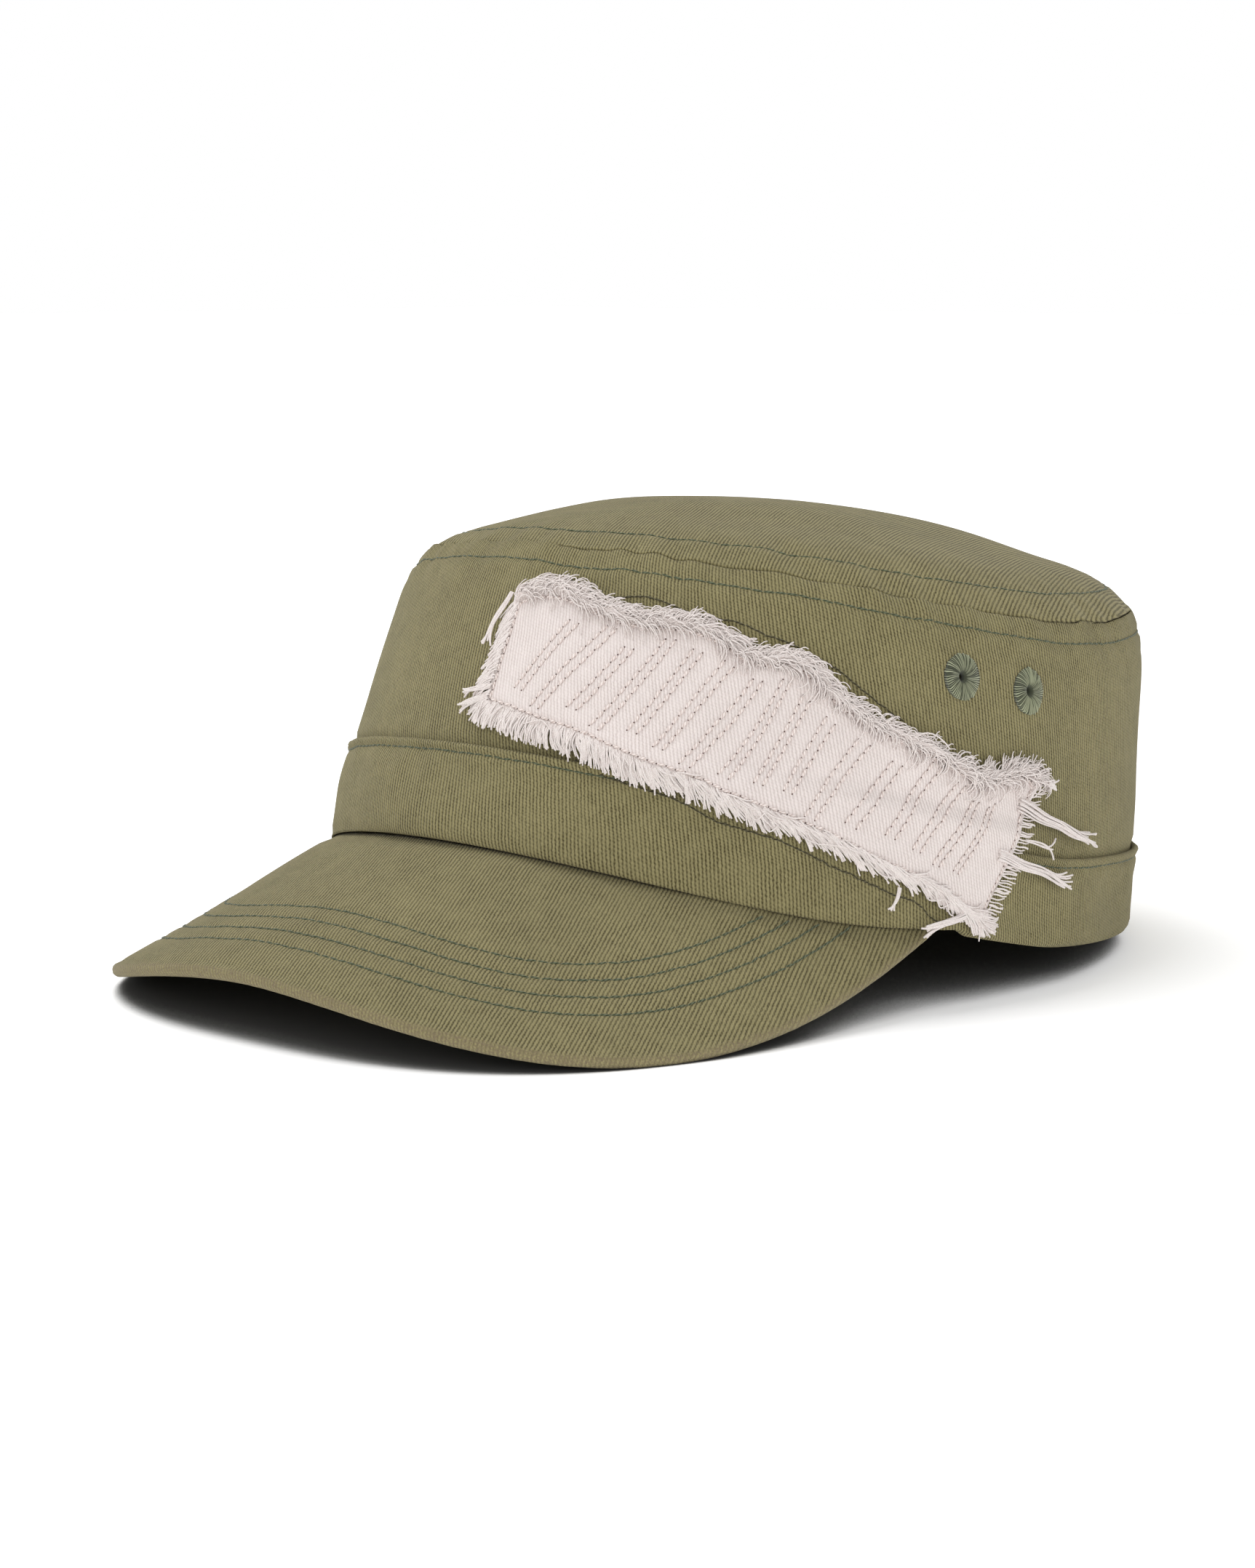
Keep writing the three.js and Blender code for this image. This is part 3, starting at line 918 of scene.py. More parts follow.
@dataclass
class Crown:
    """The side wall and the domed top panel, joined by a seam with a topstitched row on each side."""

    finishes: Finishes
    columns: int = 440
    lower_row: float = 4.3 * MM
    upper_row: float = 6.3 * MM
    row_width: float = 0.75 * MM
    row_depth: float = 0.42 * MM
    allowance: float = 0.45 * MM
    fullness: float = 1.3 * MM
    fullest_above: float = 12 * MM
    dent: float = 0.5 * MM
    dent_below: float = 5 * MM
    drifting: Bumps = Bumps(26, 1.0, 0.011, 3.0)
    puckers: Bumps = Bumps(84, 13 * MM, 0.95 * MM, 11.0)
    pucker_reach: float = 8.5 * MM
    pucker_lean: float = 0.12 / (18 * MM)
    side_waves: Bumps = Bumps(13, 34 * MM, 0.55 * MM, 21.0)
    top_waves: Bumps = Bumps(8, 1 / 2.6, 0.9 * MM, 31.0)
    row_wander: Bumps = Bumps(60, 1.0, 0.12 * MM, 41.0)
    side_turn: float = 91 * MM
    top_lean: float = math.radians(26.7)
    top_stretch: float = 1.04
    stitches: StitchStyle = StitchStyle()

    def drift(self, angle: Array) -> Array:
        """How far the seam wanders up and down, as a share of the run, most of all near the front."""
        front = 0.4 + 0.6 * hump(from_middle(angle, 0.25), 0.5)
        return front * self.drifting.at(angle)

    def top_radius(self, angle: Array) -> Array:
        """Distance from the middle of the dome to the seam."""
        seam = SHAPE.side_point(angle, np.ones_like(angle))
        return np.hypot(seam[..., 0], seam[..., 1])

    def from_seam(self, angle: Array, run: Array) -> Array:
        """Distance from the seam along the cloth, upwards on the top panel."""
        beyond = run - 1.0 - self.drift(angle)
        return np.where(beyond > 0, beyond * self.top_radius(angle), beyond * SHAPE.side_height)

    def relief(self, angle: Array, run: Array) -> Array:
        """How far the cloth stands off its smooth shape: puckers, the doubled seam, valleys and waves.

        Args:
            angle: Angles round the cap.
            run: Runs up the cap.

        Returns:
            Distances outwards.
        """
        above = self.from_seam(angle, run)
        near = np.abs(above)
        doubled = self.allowance * (1.0 - eased(near, 6.0 * MM, 8.5 * MM))
        behind = 0.35 + 0.65 * eased(np.abs(from_middle(angle)), 0.6, 1.3)
        bulge = self.fullness * hump(above - self.fullest_above, 10 * MM)
        full = bulge - self.dent * hump(above + self.dent_below, 5 * MM)
        rows = hump(above + self.lower_row, self.row_width) + hump(above - self.upper_row, self.row_width)
        gathered = 0.5 + 0.5 * hump(from_middle(angle, 0.3), 0.9)
        pucker = self.puckers.at(angle + self.pucker_lean * above, above)
        strength = gathered * np.exp(-near / self.pucker_reach)
        waves = self.side_waves.at(angle, np.minimum(run, 1.0) * SHAPE.side_height)
        inner = np.clip(2.0 - run, 0.0, 1.0)
        top_wave = self.top_waves.at(angle, inner) * eased(inner, 0.15, 0.7)
        above_band = eased(run, 0.34, 0.5)
        loose = np.where(run <= 1, waves * above_band, top_wave)
        return doubled + behind * full - self.row_depth * rows + pucker * strength + loose

    def surface(self, angle: Array, run: Array) -> Path:
        """A line over the finished cloth."""
        points = SHAPE.off_shell(angle, run, self.relief(angle, run))
        return Path(points, SHAPE.shell_normal(angle, run))

    def side_wall(self, eyelets: list[tuple[float, float]]) -> bpy.types.Object:
        """Makes the side wall.

        Args:
            eyelets: The angle and the run of each eyelet's middle.

        Returns:
            The finished piece.
        """
        cloth = SHAPE.cloth
        foot, set_back = -11.8 * MM, -0.5 * MM
        section = Section(
            [
                Station(0, foot, set_back),
                Station(0, 0.4 * MM, set_back, 6),
                Station(0, 2.6 * MM, 0, 3),
                Station(1, -3.0 * MM, 0, 34),
                Station(1, -0.8 * MM, 0, 4),
                Station(1, -0.3 * MM, -0.04 * MM, 1),
                Station(1, -0.1 * MM, -0.2 * MM, 1),
                Station(1, -0.08 * MM, -cloth, 2),
                Station(0, 2.6 * MM, -cloth, 26),
                Station(0, 0.4 * MM, set_back - cloth, 2),
                Station(0, foot, set_back - cloth, 5),
                Station(0, foot, set_back, 1),
            ]
        )

        def lay(across: Array, up: Array) -> Laid:
            """Where the wall's cloth lies.

            Args:
                across: Shares of the way round.
                up: Shares along the section.

            Returns:
                The points, their places on the cloth and their wear.
            """
            angle = across * TURN + math.pi
            share, shift, off = section.walk(up)
            fold = SHAPE.band_height(angle) / SHAPE.wall_height(angle)
            seam = 1.0 + self.drift(angle)
            run = np.minimum(fold + (seam - fold) * share + shift / SHAPE.wall_height(angle), seam)
            points = SHAPE.off_shell(angle, run, off + self.relief(angle, run))
            cloth = np.stack([across * TURN * self.side_turn, run * SHAPE.side_height], axis=1)
            return Laid(points, cloth, np.zeros(len(angle)))

        bm = wrapped_sheet(self.columns, section.rows, lay)
        for angle, run in eyelets:
            self.pierce(bm, angle, run)
        material = self.finishes.side.material()
        return dressed("side_wall_cloth", bm, material, Slot.TWILL, "crown_side")

    def pierce(self, bm: bmesh.types.BMesh, angle: float, run: float) -> None:
        """Cuts an eyelet's round hole through both faces of the wall.

        Args:
            bm: The wall's mesh.
            angle: Angle of the hole.
            run: Run of the hole.
        """
        hole_radius, cut_radius, reach = 2.1 * MM, 1.7 * MM, 5 * MM
        ends = [SHAPE.set_down(SHAPE.off_shell(angle, run, off)[None])[0] for off in (0.0, MM)]
        middle, axis = Vector(ends[0]), Vector(ends[1] - ends[0]).normalized()

        def from_axis(point: Vector) -> Vector:
            """The part of a point's offset that is square to the axis."""
            offset = point - middle
            return offset - axis * offset.dot(axis)

        def near(point: Vector, radius: float) -> bool:
            """Whether a point lies in the hole's column of this radius."""
            return abs((point - middle).dot(axis)) < reach and from_axis(point).length < radius

        gone = [face for face in bm.faces if near(face.calc_center_median(), cut_radius)]
        bmesh.ops.delete(bm, geom=gone, context="FACES")
        edges = [edge for edge in bm.edges if edge.is_boundary and near(edge.verts[0].co, reach)]
        for vert in {vert for edge in edges for vert in edge.verts}:
            offset = from_axis(vert.co)
            vert.co += offset.normalized() * (hole_radius - offset.length)
        bmesh.ops.bridge_loops(bm, edges=edges)

    def top_panel(self) -> bpy.types.Object:
        """Makes the domed top panel, closed in the middle.

        Returns:
            The finished piece.
        """
        cloth = SHAPE.cloth
        crack = 0.001
        section = Section(
            [
                Station(1, 0, -cloth),
                Station(0.3, 0, -cloth, 16),
                Station(0, 0, -cloth, 18),
                Station(0, crack, -0.2 * MM, 2),
                Station(0, 2 * crack, -0.05 * MM, 1),
                Station(0, 5 * crack, 0, 1),
                Station(0.1, 0, 0, 9),
                Station(0.3, 0, 0, 13),
                Station(1, 0, 0, 26),
            ]
        )

        def lay(across: Array, up: Array) -> Laid:
            """Where the panel's cloth lies.

            Args:
                across: Shares of the way round.
                up: Shares along the section.

            Returns:
                The points, their places on the cloth and their wear.
            """
            angle = across * TURN + math.pi
            share, shift, off = section.walk(up)
            seam = 1.0 + self.drift(angle) + crack
            run = seam + (2.0 - seam) * share + shift
            flat = np.clip(2.0 - run, 0, 1)
            smooth = self.relief(angle, run) * eased(flat, 0.0, 0.12)
            normal = SHAPE.shell_normal(angle, run)
            upright = np.array([0.0, 0.0, 1.0])
            normal = unit(normal + (upright - normal) * (1.0 - eased(flat, 0.02, 0.12))[:, None])
            points = SHAPE.shell_point(angle, run) + normal * (off + smooth)[:, None]
            cloth_places = turned_weave(points[:, 0], points[:, 1] * self.top_stretch, self.top_lean)
            return Laid(points, cloth_places, np.zeros(len(angle)))

        bm = wrapped_sheet(self.columns, section.rows, lay)
        return dressed("top_panel_cloth", bm, self.finishes.top.material(), Slot.TWILL, "crown_top")

    def seam_rows(self) -> bpy.types.Object:
        """Makes the two topstitched rows beside the seam.

        Returns:
            The finished piece.
        """
        angle = np.linspace(0, TURN, ROUND_STEPS)
        seam = 1.0 + self.drift(angle)
        wander = self.row_wander.at(angle)
        lower = self.surface(angle, seam - (self.lower_row + wander) / SHAPE.side_height)
        upper = self.surface(angle, seam + (self.upper_row + wander) / self.top_radius(angle))
        bm = sew([lower, upper], self.stitches, seed=5)
        return dressed("top_seam_stitches", bm, self.finishes.topstitch.material(), Slot.THREAD)


@dataclass
class Band:
    """The strip round the lower crown, folded over at its upper edge, with a stitched row under the fold."""

    finishes: Finishes
    columns: int = 460
    outset: float = 0.9 * MM
    fold_outset: float = 1.35 * MM
    inner_face: float = -0.2 * MM
    lower_edge: float = 1.2 * MM
    lower_fade: float = 6 * MM
    row_down: float = 2.1 * MM
    row_width: float = 0.7 * MM
    row_depth: float = 0.4 * MM
    puckers: Bumps = Bumps(90, 9 * MM, 0.4 * MM, 51.0)
    puckers_down: float = 3 * MM
    pucker_reach: float = 5 * MM
    waves: Bumps = Bumps(22, 16 * MM, 0.95 * MM, 61.0)
    wave_lean: float = 6.0
    row_wander: Bumps = Bumps(50, 1.0, 0.15 * MM, 71.0)
    leaves_peak: float = math.radians(72.0)
    run_out: float = math.radians(3.5)
    stitches: StitchStyle = StitchStyle()

    def relief(self, angle: Array, up: Array) -> Array:
        """How far the band's cloth stands off its smooth shape.

        Args:
            angle: Angles round the cap.
            up: Heights above the rim.

        Returns:
            Distances outwards.
        """
        below = SHAPE.band_height(angle) - up
        valley = self.row_depth * hump(below - self.row_down, self.row_width)
        strength = np.exp(-np.abs(below - self.puckers_down) / self.pucker_reach)
        body = eased(below, 2 * MM, 7 * MM)
        waves = self.waves.at(angle + up * self.wave_lean, up) * body
        return self.puckers.at(angle, up) * strength + waves - valley

    def stand(self, angle: Array, up: Array, off: Array) -> Array:
        """Points of the band, with its lower edge lying on the peak at the front.

        Args:
            angle: Angles round the cap.
            up: Heights above the rim.
            off: Distances off the crown's face.

        Returns:
            The points in the cap's own frame.
        """
        points = SHAPE.off_shell(angle, up / SHAPE.wall_height(angle), off)
        from_front = np.abs(from_middle(angle))
        on_peak = 1.0 - np.clip((from_front - self.leaves_peak) / self.run_out, 0, 1)
        foot = SHAPE.off_shell(angle, np.zeros_like(up), off)
        drop = PEAK.top_height(foot[:, 0], foot[:, 1]) + SHAPE.gap - foot[:, 2]
        low = 1.0 - np.clip((up - self.lower_edge) / self.lower_fade, 0, 1)
        points[:, 2] += drop * on_peak * low
        return points

    def strip(self) -> bpy.types.Object:
        """Makes the band.

        Returns:
            The finished piece.
        """
        out, fold, inner = self.outset, self.fold_outset, self.inner_face
        section = Section(
            [
                Station(0, 0, out - 1.3 * MM),
                Station(0, 0.3 * MM, out - 0.8 * MM, 1),
                Station(0, 1.0 * MM, out - 0.35 * MM, 1),
                Station(0, 2.6 * MM, out, 2),
                Station(1, -3.6 * MM, out, 15),
                Station(1, -2.1 * MM, out, 3),
                Station(1, -1.5 * MM, fold - 0.1 * MM, 1),
                Station(1, -0.9 * MM, fold, 1),
                Station(1, -0.35 * MM, fold - 0.15 * MM, 1),
                Station(1, -0.06 * MM, fold - 0.5 * MM, 1),
                Station(1, 0, fold - 0.9 * MM, 1),
                Station(1, -0.3 * MM, inner, 1),
                Station(1, -12.3 * MM, inner, 6),
                Station(1, -13.5 * MM, -out, 2),
                Station(0, 0.5 * MM, -out, 5),
                Station(0, 0, -out + 0.4 * MM, 1),
                Station(0, 0, out - 1.3 * MM, 1),
            ]
        )

        def lay(across: Array, up: Array) -> Laid:
            """Where the band's cloth lies.

            Args:
                across: Shares of the way round.
                up: Shares along the section.

            Returns:
                The points, their places on the cloth and their wear.
            """
            angle = across * TURN + math.pi
            share, shift, off = section.walk(up)
            height = SHAPE.band_height(angle) * share + shift
            outer = eased(off, 0.0, 0.6 * MM)
            points = self.stand(angle, height, off + self.relief(angle, height) * outer)
            cloth = np.stack([across * SHAPE.rim_length, height], axis=1)
            return Laid(points, cloth, np.zeros(len(angle)))

        bm = wrapped_sheet(self.columns, section.rows, lay)
        return dressed("band_cloth", bm, self.finishes.side.material(), Slot.TWILL, "band")

    def fold_row(self) -> bpy.types.Object:
        """Makes the row of stitches under the fold.

        Returns:
            The finished piece.
        """
        angle = np.linspace(0, TURN, ROUND_STEPS)
        up = SHAPE.band_height(angle) - self.row_down + self.row_wander.at(angle)
        points = self.stand(angle, up, self.outset + self.relief(angle, up))
        path = Path(points, SHAPE.shell_normal(angle, up / SHAPE.wall_height(angle)))
        bm = sew([path], self.stitches, seed=6)
        return dressed("band_stitches", bm, self.finishes.topstitch.material(), Slot.THREAD)


@dataclass
class Peak:
    """The peak: a curved board covered in twill, with four topstitched rows along its rounded edge."""

    finishes: Finishes
    corner_angle: float = math.radians(71)
    reach: float = 51.8 * MM
    squareness: float = 2.58
    flare: float = 11.8 * MM
    slope: float = math.radians(32.7)
    side_drop: float = 40.8 * MM
    drop_half_width: float = 90 * MM
    drop_fade: float = 0.24
    drop_fade_reach: float = 60 * MM
    thickness: float = 3 * MM
    corner_thinning: float = 0.6
    tuck: float = 1.5 * MM
    dip: float = 0.5 * MM
    columns: int = 210
    row_count: int = 4
    inner_row: float = 24.8 * MM
    outer_row: float = 11.2 * MM
    row_rise: float = -2.8 * MM
    row_width: float = 0.8 * MM
    row_depth: float = 0.3 * MM
    ripples: Ripples = Ripples(7 * MM, 9 * MM, 0.1 * MM, 81.0)
    waves: Ripples = Ripples(38 * MM, 30 * MM, 0.45 * MM, 82.0)
    crease_in: float = 2.6 * MM
    crease_width: float = 0.7 * MM
    crease_depth: float = 0.16 * MM
    ragged: Ripples = Ripples(1 / 90, 1 / 1.5, 0.12 * MM, 83.0)
    ragged_wear: Ripples = Ripples(1 / 60, 1.0, 0.35 * MM, 84.0)
    lean: float = math.radians(26.7)
    stitches: StitchStyle = StitchStyle(2.5 * MM, 2.66 * MM, 0.25 * MM)

    def top_height(self, x: Array, y: Array) -> Array:
        """Height of the upper face.

        Args:
            x: Distances to the wearer's left.
            y: Distances backwards.

        Returns:
            Heights in the cap's own frame.
        """
        forward = -y - SHAPE.half_length
        fade = 1.0 - self.drop_fade * forward / self.drop_fade_reach
        drop = self.side_drop * (x / self.drop_half_width) ** 2 * fade
        return SHAPE.front_rise - drop - math.tan(self.slope) * forward

    def top_normal(self, x: Array, y: Array) -> Array:
        """Upward directions of the upper face.

        Args:
            x: Distances to the wearer's left.
            y: Distances backwards.

        Returns:
            Directions of length 1.
        """
        step = 0.5 * MM
        slope_x = (self.top_height(x + step, y) - self.top_height(x - step, y)) / (2 * step)
        slope_y = (self.top_height(x, y + step) - self.top_height(x, y - step)) / (2 * step)
        return unit(np.stack([-slope_x, -slope_y, np.ones_like(slope_x)], axis=-1))

    def edges(self, across: Array) -> tuple[Array, Array]:
        """Inner and outer edge seen from above.

        Args:
            across: Places from -1 at the right corner to 1 at the left.

        Returns:
            The x and y of both edges.
        """
        corner_x, corner_y = SHAPE.oval(np.array(self.corner_angle), SHAPE.half_length, SHAPE.half_width)
        depth = self.reach + SHAPE.half_length + corner_y
        inner_x, inner_y = SHAPE.oval(
            across * self.corner_angle, SHAPE.half_length - self.tuck, SHAPE.half_width - self.tuck
        )
        swing = across * math.pi / 2
        sine, cosine = np.sin(swing), np.cos(swing)
        total = np.abs(sine) ** self.squareness + np.abs(cosine) ** self.squareness
        radius = total ** (-1 / self.squareness)
        outer_x = (corner_x + self.flare * cosine) * radius * sine
        outer_y = corner_y - depth * radius * cosine
        return np.stack([inner_x, inner_y], axis=-1), np.stack([outer_x, outer_y], axis=-1)

    def row_insets(self) -> Array:
        """How far each stitched row lies from the edge at the middle of the peak."""
        return np.linspace(self.inner_row, self.outer_row, self.row_count)

    def row_inset_at(self, row: float, across: Array) -> Array:
        """How far a row lies from the edge, seen from above, at a place across."""
        return row + self.row_rise * (row / self.inner_row) * across**2

    def slant(self, across: Array) -> Array:
        """How the way straight in from the edge compares with the way along the board's own lines.

        Args:
            across: Places from -1 at the right corner to 1 at the left.

        Returns:
            The first way's share of the second.
        """
        step = 0.004
        inner, outer = self.edges(across)
        before, after = self.edges(across - step)[1], self.edges(across + step)[1]
        rim = unit(after - before)
        line = unit(outer - inner)
        return np.abs(line[:, 0] * rim[:, 1] - line[:, 1] * rim[:, 0])

    def relief(self, x: Array, y: Array, inset: Array, across: Array) -> Array:
        """How far the upper cloth stands off the smooth board.

        Args:
            x: Distances to the wearer's left.
            y: Distances backwards.
            inset: Distances in from the edge.
            across: Places from -1 at the right corner to 1 at the left.

        Returns:
            Distances upwards.
        """
        insets = [self.row_inset_at(row, across) for row in self.row_insets()]
        valleys = self.row_depth * sum(hump(inset - row_inset, self.row_width) for row_inset in insets)
        stitched = eased(inset, 7 * MM, 10 * MM) * (1 - eased(inset, 26 * MM, 30 * MM))
        crease = self.crease_depth * hump(inset - self.crease_in, self.crease_width)
        return self.waves.at(x, y) + self.ripples.at(x, y) * stitched - valleys - crease

    def board(self) -> bpy.types.Object:
        """Makes the peak.

        Returns:
            The finished piece.
        """
        top_rows, round_rows, under_rows = 50, 12, 22
        rows = top_rows + round_rows + under_rows

        def lay(share_across: Array, up: Array) -> Laid:
            """Where the peak's cloth lies.

            Args:
                share_across: Shares from the right corner to the left.
                up: Shares outwards on top, round the edge and back underneath.

            Returns:
                The points, their places on the cloth and their wear.
            """
            across = share_across * 2 - 1
            row = np.round(up * rows)
            inner, outer = self.edges(across)
            span = np.linalg.norm(outer - inner, axis=1)
            thinned = 1 - (1 - self.corner_thinning) * eased(np.abs(across), 0.9, 1.0)
            radius = np.minimum(self.thickness / 2 * thinned, span * 0.45)
            last = 1.0 - radius / span
            on_top = np.clip(row / top_rows, 0, 1)
            turned = np.clip((row - top_rows) / round_rows, 0, 1) * math.pi
            back = np.clip((row - top_rows - round_rows) / under_rows, 0, 1)
            share = last * (1 - (1 - on_top) ** 1.15) * (1 - back)
            flat = inner + (outer - inner) * share[:, None]
            x, y = flat.T
            normal = self.top_normal(x, y)
            ahead = inner + (outer - inner) * (share + 0.01)[:, None]
            base = np.stack([x, y, self.top_height(x, y)], axis=1)
            front = np.stack([*ahead.T, self.top_height(*ahead.T)], axis=1)
            outward = unit(front - base)
            inset = (1 - share) * span * self.slant(across)
            tucked = self.dip * (1 - eased(share * span, 1.8 * MM, 5.0 * MM))
            upper = (1 - turned / math.pi) * (self.relief(x, y, inset, across) - tucked) * thinned
            lift = radius * (np.cos(turned) - 1) + upper
            ragged = self.ragged.at(across, turned) * np.sin(turned)
            points = base + normal * lift[:, None] + outward * ((radius + ragged) * np.sin(turned))[:, None]
            over = turned * radius
            cloth_x = x + outward[:, 0] * over
            cloth_y = (y + outward[:, 1] * over) / math.cos(self.slope)
            cloth = turned_weave(cloth_x, cloth_y, self.lean)
            near_edge = 1 - eased(inset + self.ragged_wear.at(across), 0.4 * MM, 1.7 * MM)
            worn = np.where(turned > 0, 1 - eased(back, 0.0, 0.06), near_edge)
            return Laid(points, cloth, worn)

        bm = wrapped_sheet(self.columns, rows, lay)
        open_edges = [edge for edge in bm.edges if edge.is_boundary]
        bmesh.ops.holes_fill(bm, edges=open_edges, sides=0)
        bmesh.ops.recalc_face_normals(bm, faces=bm.faces)
        return dressed("peak_cloth", bm, self.finishes.peak.material(), Slot.TWILL, "peak")

    def rows(self) -> bpy.types.Object:
        """Makes the four rows of stitches.

        Returns:
            The finished piece.
        """
        paths = []
        last, hidden = 0.995, 0.06
        for index, row in enumerate(self.row_insets()):
            across = np.linspace(-last, last, 600)
            wander = Ripples(1 / 30, 1.0, 0.1 * MM, 90.0 + index)
            inner, outer = self.edges(across)
            span = np.linalg.norm(outer - inner, axis=1) * self.slant(across)
            inset = self.row_inset_at(row, across) + wander.at(across)
            share = 1 - inset / np.maximum(span, 1e-6)
            seen = share > hidden
            flat = inner + (outer - inner) * share[:, None]
            x, y = flat[seen].T
            z = self.top_height(x, y)
            normal = self.top_normal(x, y)
            off = self.relief(x, y, inset[seen], across[seen])
            paths.append(Path(np.stack([x, y, z], axis=1) + normal * off[:, None], normal))
        bm = sew(paths, self.stitches, seed=7)
        return dressed("peak_stitches", bm, self.finishes.topstitch.material(), Slot.THREAD)


@dataclass
class Eyelets:
    """The embroidered eyelets: a pad of thread sewn over and over through a small hole."""

    finishes: Finishes
    crown: Crown
    angles: tuple[float, float] = (math.radians(70), math.radians(82.5))
    up: float = 56.2 * MM
    outer: float = 5.2 * MM
    tube: float = 1.9 * MM
    hole: float = 0.9 * MM
    narrowing: float = 0.82
    threads: int = 58
    per_thread: int = 6
    twist: float = 0.22
    slant: float = 0.14
    ridge_height: float = 0.5 * MM
    ridge_out: float = 0.2 * MM
    uneven_height: float = 0.08 * MM
    uneven_out: float = 0.22 * MM

    def places(self) -> dict[str, tuple[float, float]]:
        """Where the eyelets are.

        Returns:
            The angle and the run of each, by its node's name.
        """
        found = {}
        for side, sign in (("left", 1), ("right", -1)):
            for place, angle in zip(("front", "back"), self.angles):
                found[f"eyelet_{side}_{place}"] = (sign * angle, float(self.up / SHAPE.wall_height(angle)))
        return found

    def ring(self, name: str, angle: float, run: float, layer: float) -> bpy.types.Object:
        """Makes one eyelet.

        Args:
            name: The node that it stands for.
            angle: Angle of its middle.
            run: Run of its middle.
            layer: Which noise varies its threads.

        Returns:
            The finished piece.
        """
        depth = -SHAPE.cloth - SHAPE.gap
        profile = [
            (self.tube, depth),
            (self.tube, 0.1 * MM),
            (self.outer, 0.1 * MM),
            (self.outer, 0.35 * MM),
            (self.outer * 0.93, 0.62 * MM),
            (self.outer * 0.8, 0.85 * MM),
            (self.outer * 0.6, 1.0 * MM),
            (self.outer * 0.42, 0.95 * MM),
            (self.outer * 0.3, 0.7 * MM),
            (self.outer * 0.21, 0.2 * MM),
            (self.hole, -0.6 * MM),
            (self.hole, depth),
        ]
        bm = bmesh.new()
        corners = [bm.verts.new((radius, 0, up)) for radius, up in profile]
        edges = [bm.edges.new(pair) for pair in zip(corners, corners[1:] + corners[:1])]
        steps = self.threads * self.per_thread
        bmesh.ops.spin(
            bm,
            geom=corners + edges,
            cent=(0, 0, 0),
            axis=(0, 0, 1),
            angle=TURN,
            steps=steps,
            use_merge=True,
        )
        bmesh.ops.remove_doubles(bm, verts=bm.verts, dist=1e-6)
        bmesh.ops.recalc_face_normals(bm, faces=bm.faces)
        at = np.array([vert.co[:] for vert in bm.verts])
        turn = np.arctan2(at[:, 1], at[:, 0])
        radius = np.hypot(at[:, 0], at[:, 1])
        thread = turn * self.threads
        number = np.floor(thread / TURN + 0.5)
        turn = turn + self.twist * (radius / self.outer)
        uneven = rough(number * 1.7, layer, 0.5)
        half = rough(number * 2.3, np.round(2.5 * radius / self.outer), 1.5 + layer)
        ridge = np.abs(np.cos(thread / 2))
        shown = eased(at[:, 2], 0.0, 0.3 * MM)
        ridged = (ridge - 0.7) * self.ridge_height * eased(radius, self.hole, 0.5 * self.outer)
        rise = ridged + uneven * self.uneven_height
        reach = (uneven + half) * self.uneven_out * eased(radius, 0.75 * self.outer, self.outer)
        wide = radius + reach * shown + (ridge - 1) * self.ridge_out * eased(radius, 4 * MM, self.outer)
        narrow = 1.0 - (1.0 - self.narrowing) * shown
        at[:, 0] = wide * np.cos(turn) * narrow - self.slant * wide * np.sin(turn) * shown
        at[:, 1] = wide * np.sin(turn)
        at[:, 2] += rise * shown
        points = self.on_wall(at, angle, run)
        # Painted light for the satin thread: lit is a painted highlight on each thread's ridge, painted shade
        # in the valleys between threads and dark painted shade down towards the hole, varied at random per
        # thread.
        painted_ridge_light = bm.verts.layers.float.new(WEAR_AND_RIDGE_LIGHT)
        inwards = eased(radius, 0.15 * self.outer, 0.34 * self.outer)
        lit = ridge**1.2 * np.clip(0.66 + 0.3 * uneven + 0.3 * half, 0.3, 0.9) * (0.04 + 0.96 * inwards)
        for vert, point, height in zip(bm.verts, points, lit):
            vert.co = point
            vert[painted_ridge_light] = height
        return dressed(name + "_threads", bm, self.finishes.satin.material(), Slot.THREAD, name)

    def on_wall(self, at: Array, angle: float, run: float) -> Array:
        """Bends points made round +Z onto the wall.

        Args:
            at: Points about the eyelet's middle, with their distance off the wall as z.
            angle: Angle of the middle.
            run: Run of the middle.

        Returns:
            The points in the shared frame.
        """
        turn = angle + at[:, 0] / self.crown.side_turn
        runs = run + at[:, 1] / SHAPE.side_height
        return SHAPE.set_down(SHAPE.off_shell(turn, runs, at[:, 2] + self.crown.relief(turn, runs)))


@dataclass(frozen=True)
class PatchStation:
    """One cut across the patch, from its lower edge to its upper one, in millimetres round and up the rim."""

    low_along: float
    low: float
    high_along: float
    high: float


PATCH_STATIONS = (
    PatchStation(1, 30, -1, 57),
    PatchStation(10, 28.6, 7, 60.3),
    PatchStation(18, 27, 17, 60),
    PatchStation(28, 25.8, 29, 56.6),
    PatchStation(37, 23.3, 38, 56),
    PatchStation(46, 21, 48, 57.6),
    PatchStation(55, 20.2, 57, 56.4),
    PatchStation(65, 17.6, 66, 51.8),
    PatchStation(73, 16.2, 74, 54.8),
    PatchStation(81, 14.8, 80, 51.8),
    PatchStation(91, 12.7, 88, 45.8),
    PatchStation(102, 9.4, 100, 42.8),
    PatchStation(110, 8.4, 110, 40.6),
    PatchStation(116, 6.6, 121, 37.4),
    PatchStation(121, 5.2, 128, 36.8),
    PatchStation(125, 4.8, 136, 40.6),
    PatchStation(129, 4.4, 145, 38.8),
)


class Side(Enum):
    """The four edges of the patch."""

    LOW = "low"
    HIGH = "high"
    FRONT = "front"
    BACK = "back"


@dataclass(frozen=True)
class DarkRow:
    """A dark row along a long edge: its ends as shares, and how far out it lies and swings in millimetres."""

    side: Side
    first: float
    last: float
    out: float
    swing: float
    swings: float = 33.0
    wander: Ripples = Ripples(1 / 18, 1.0, 0.4, 121.0)


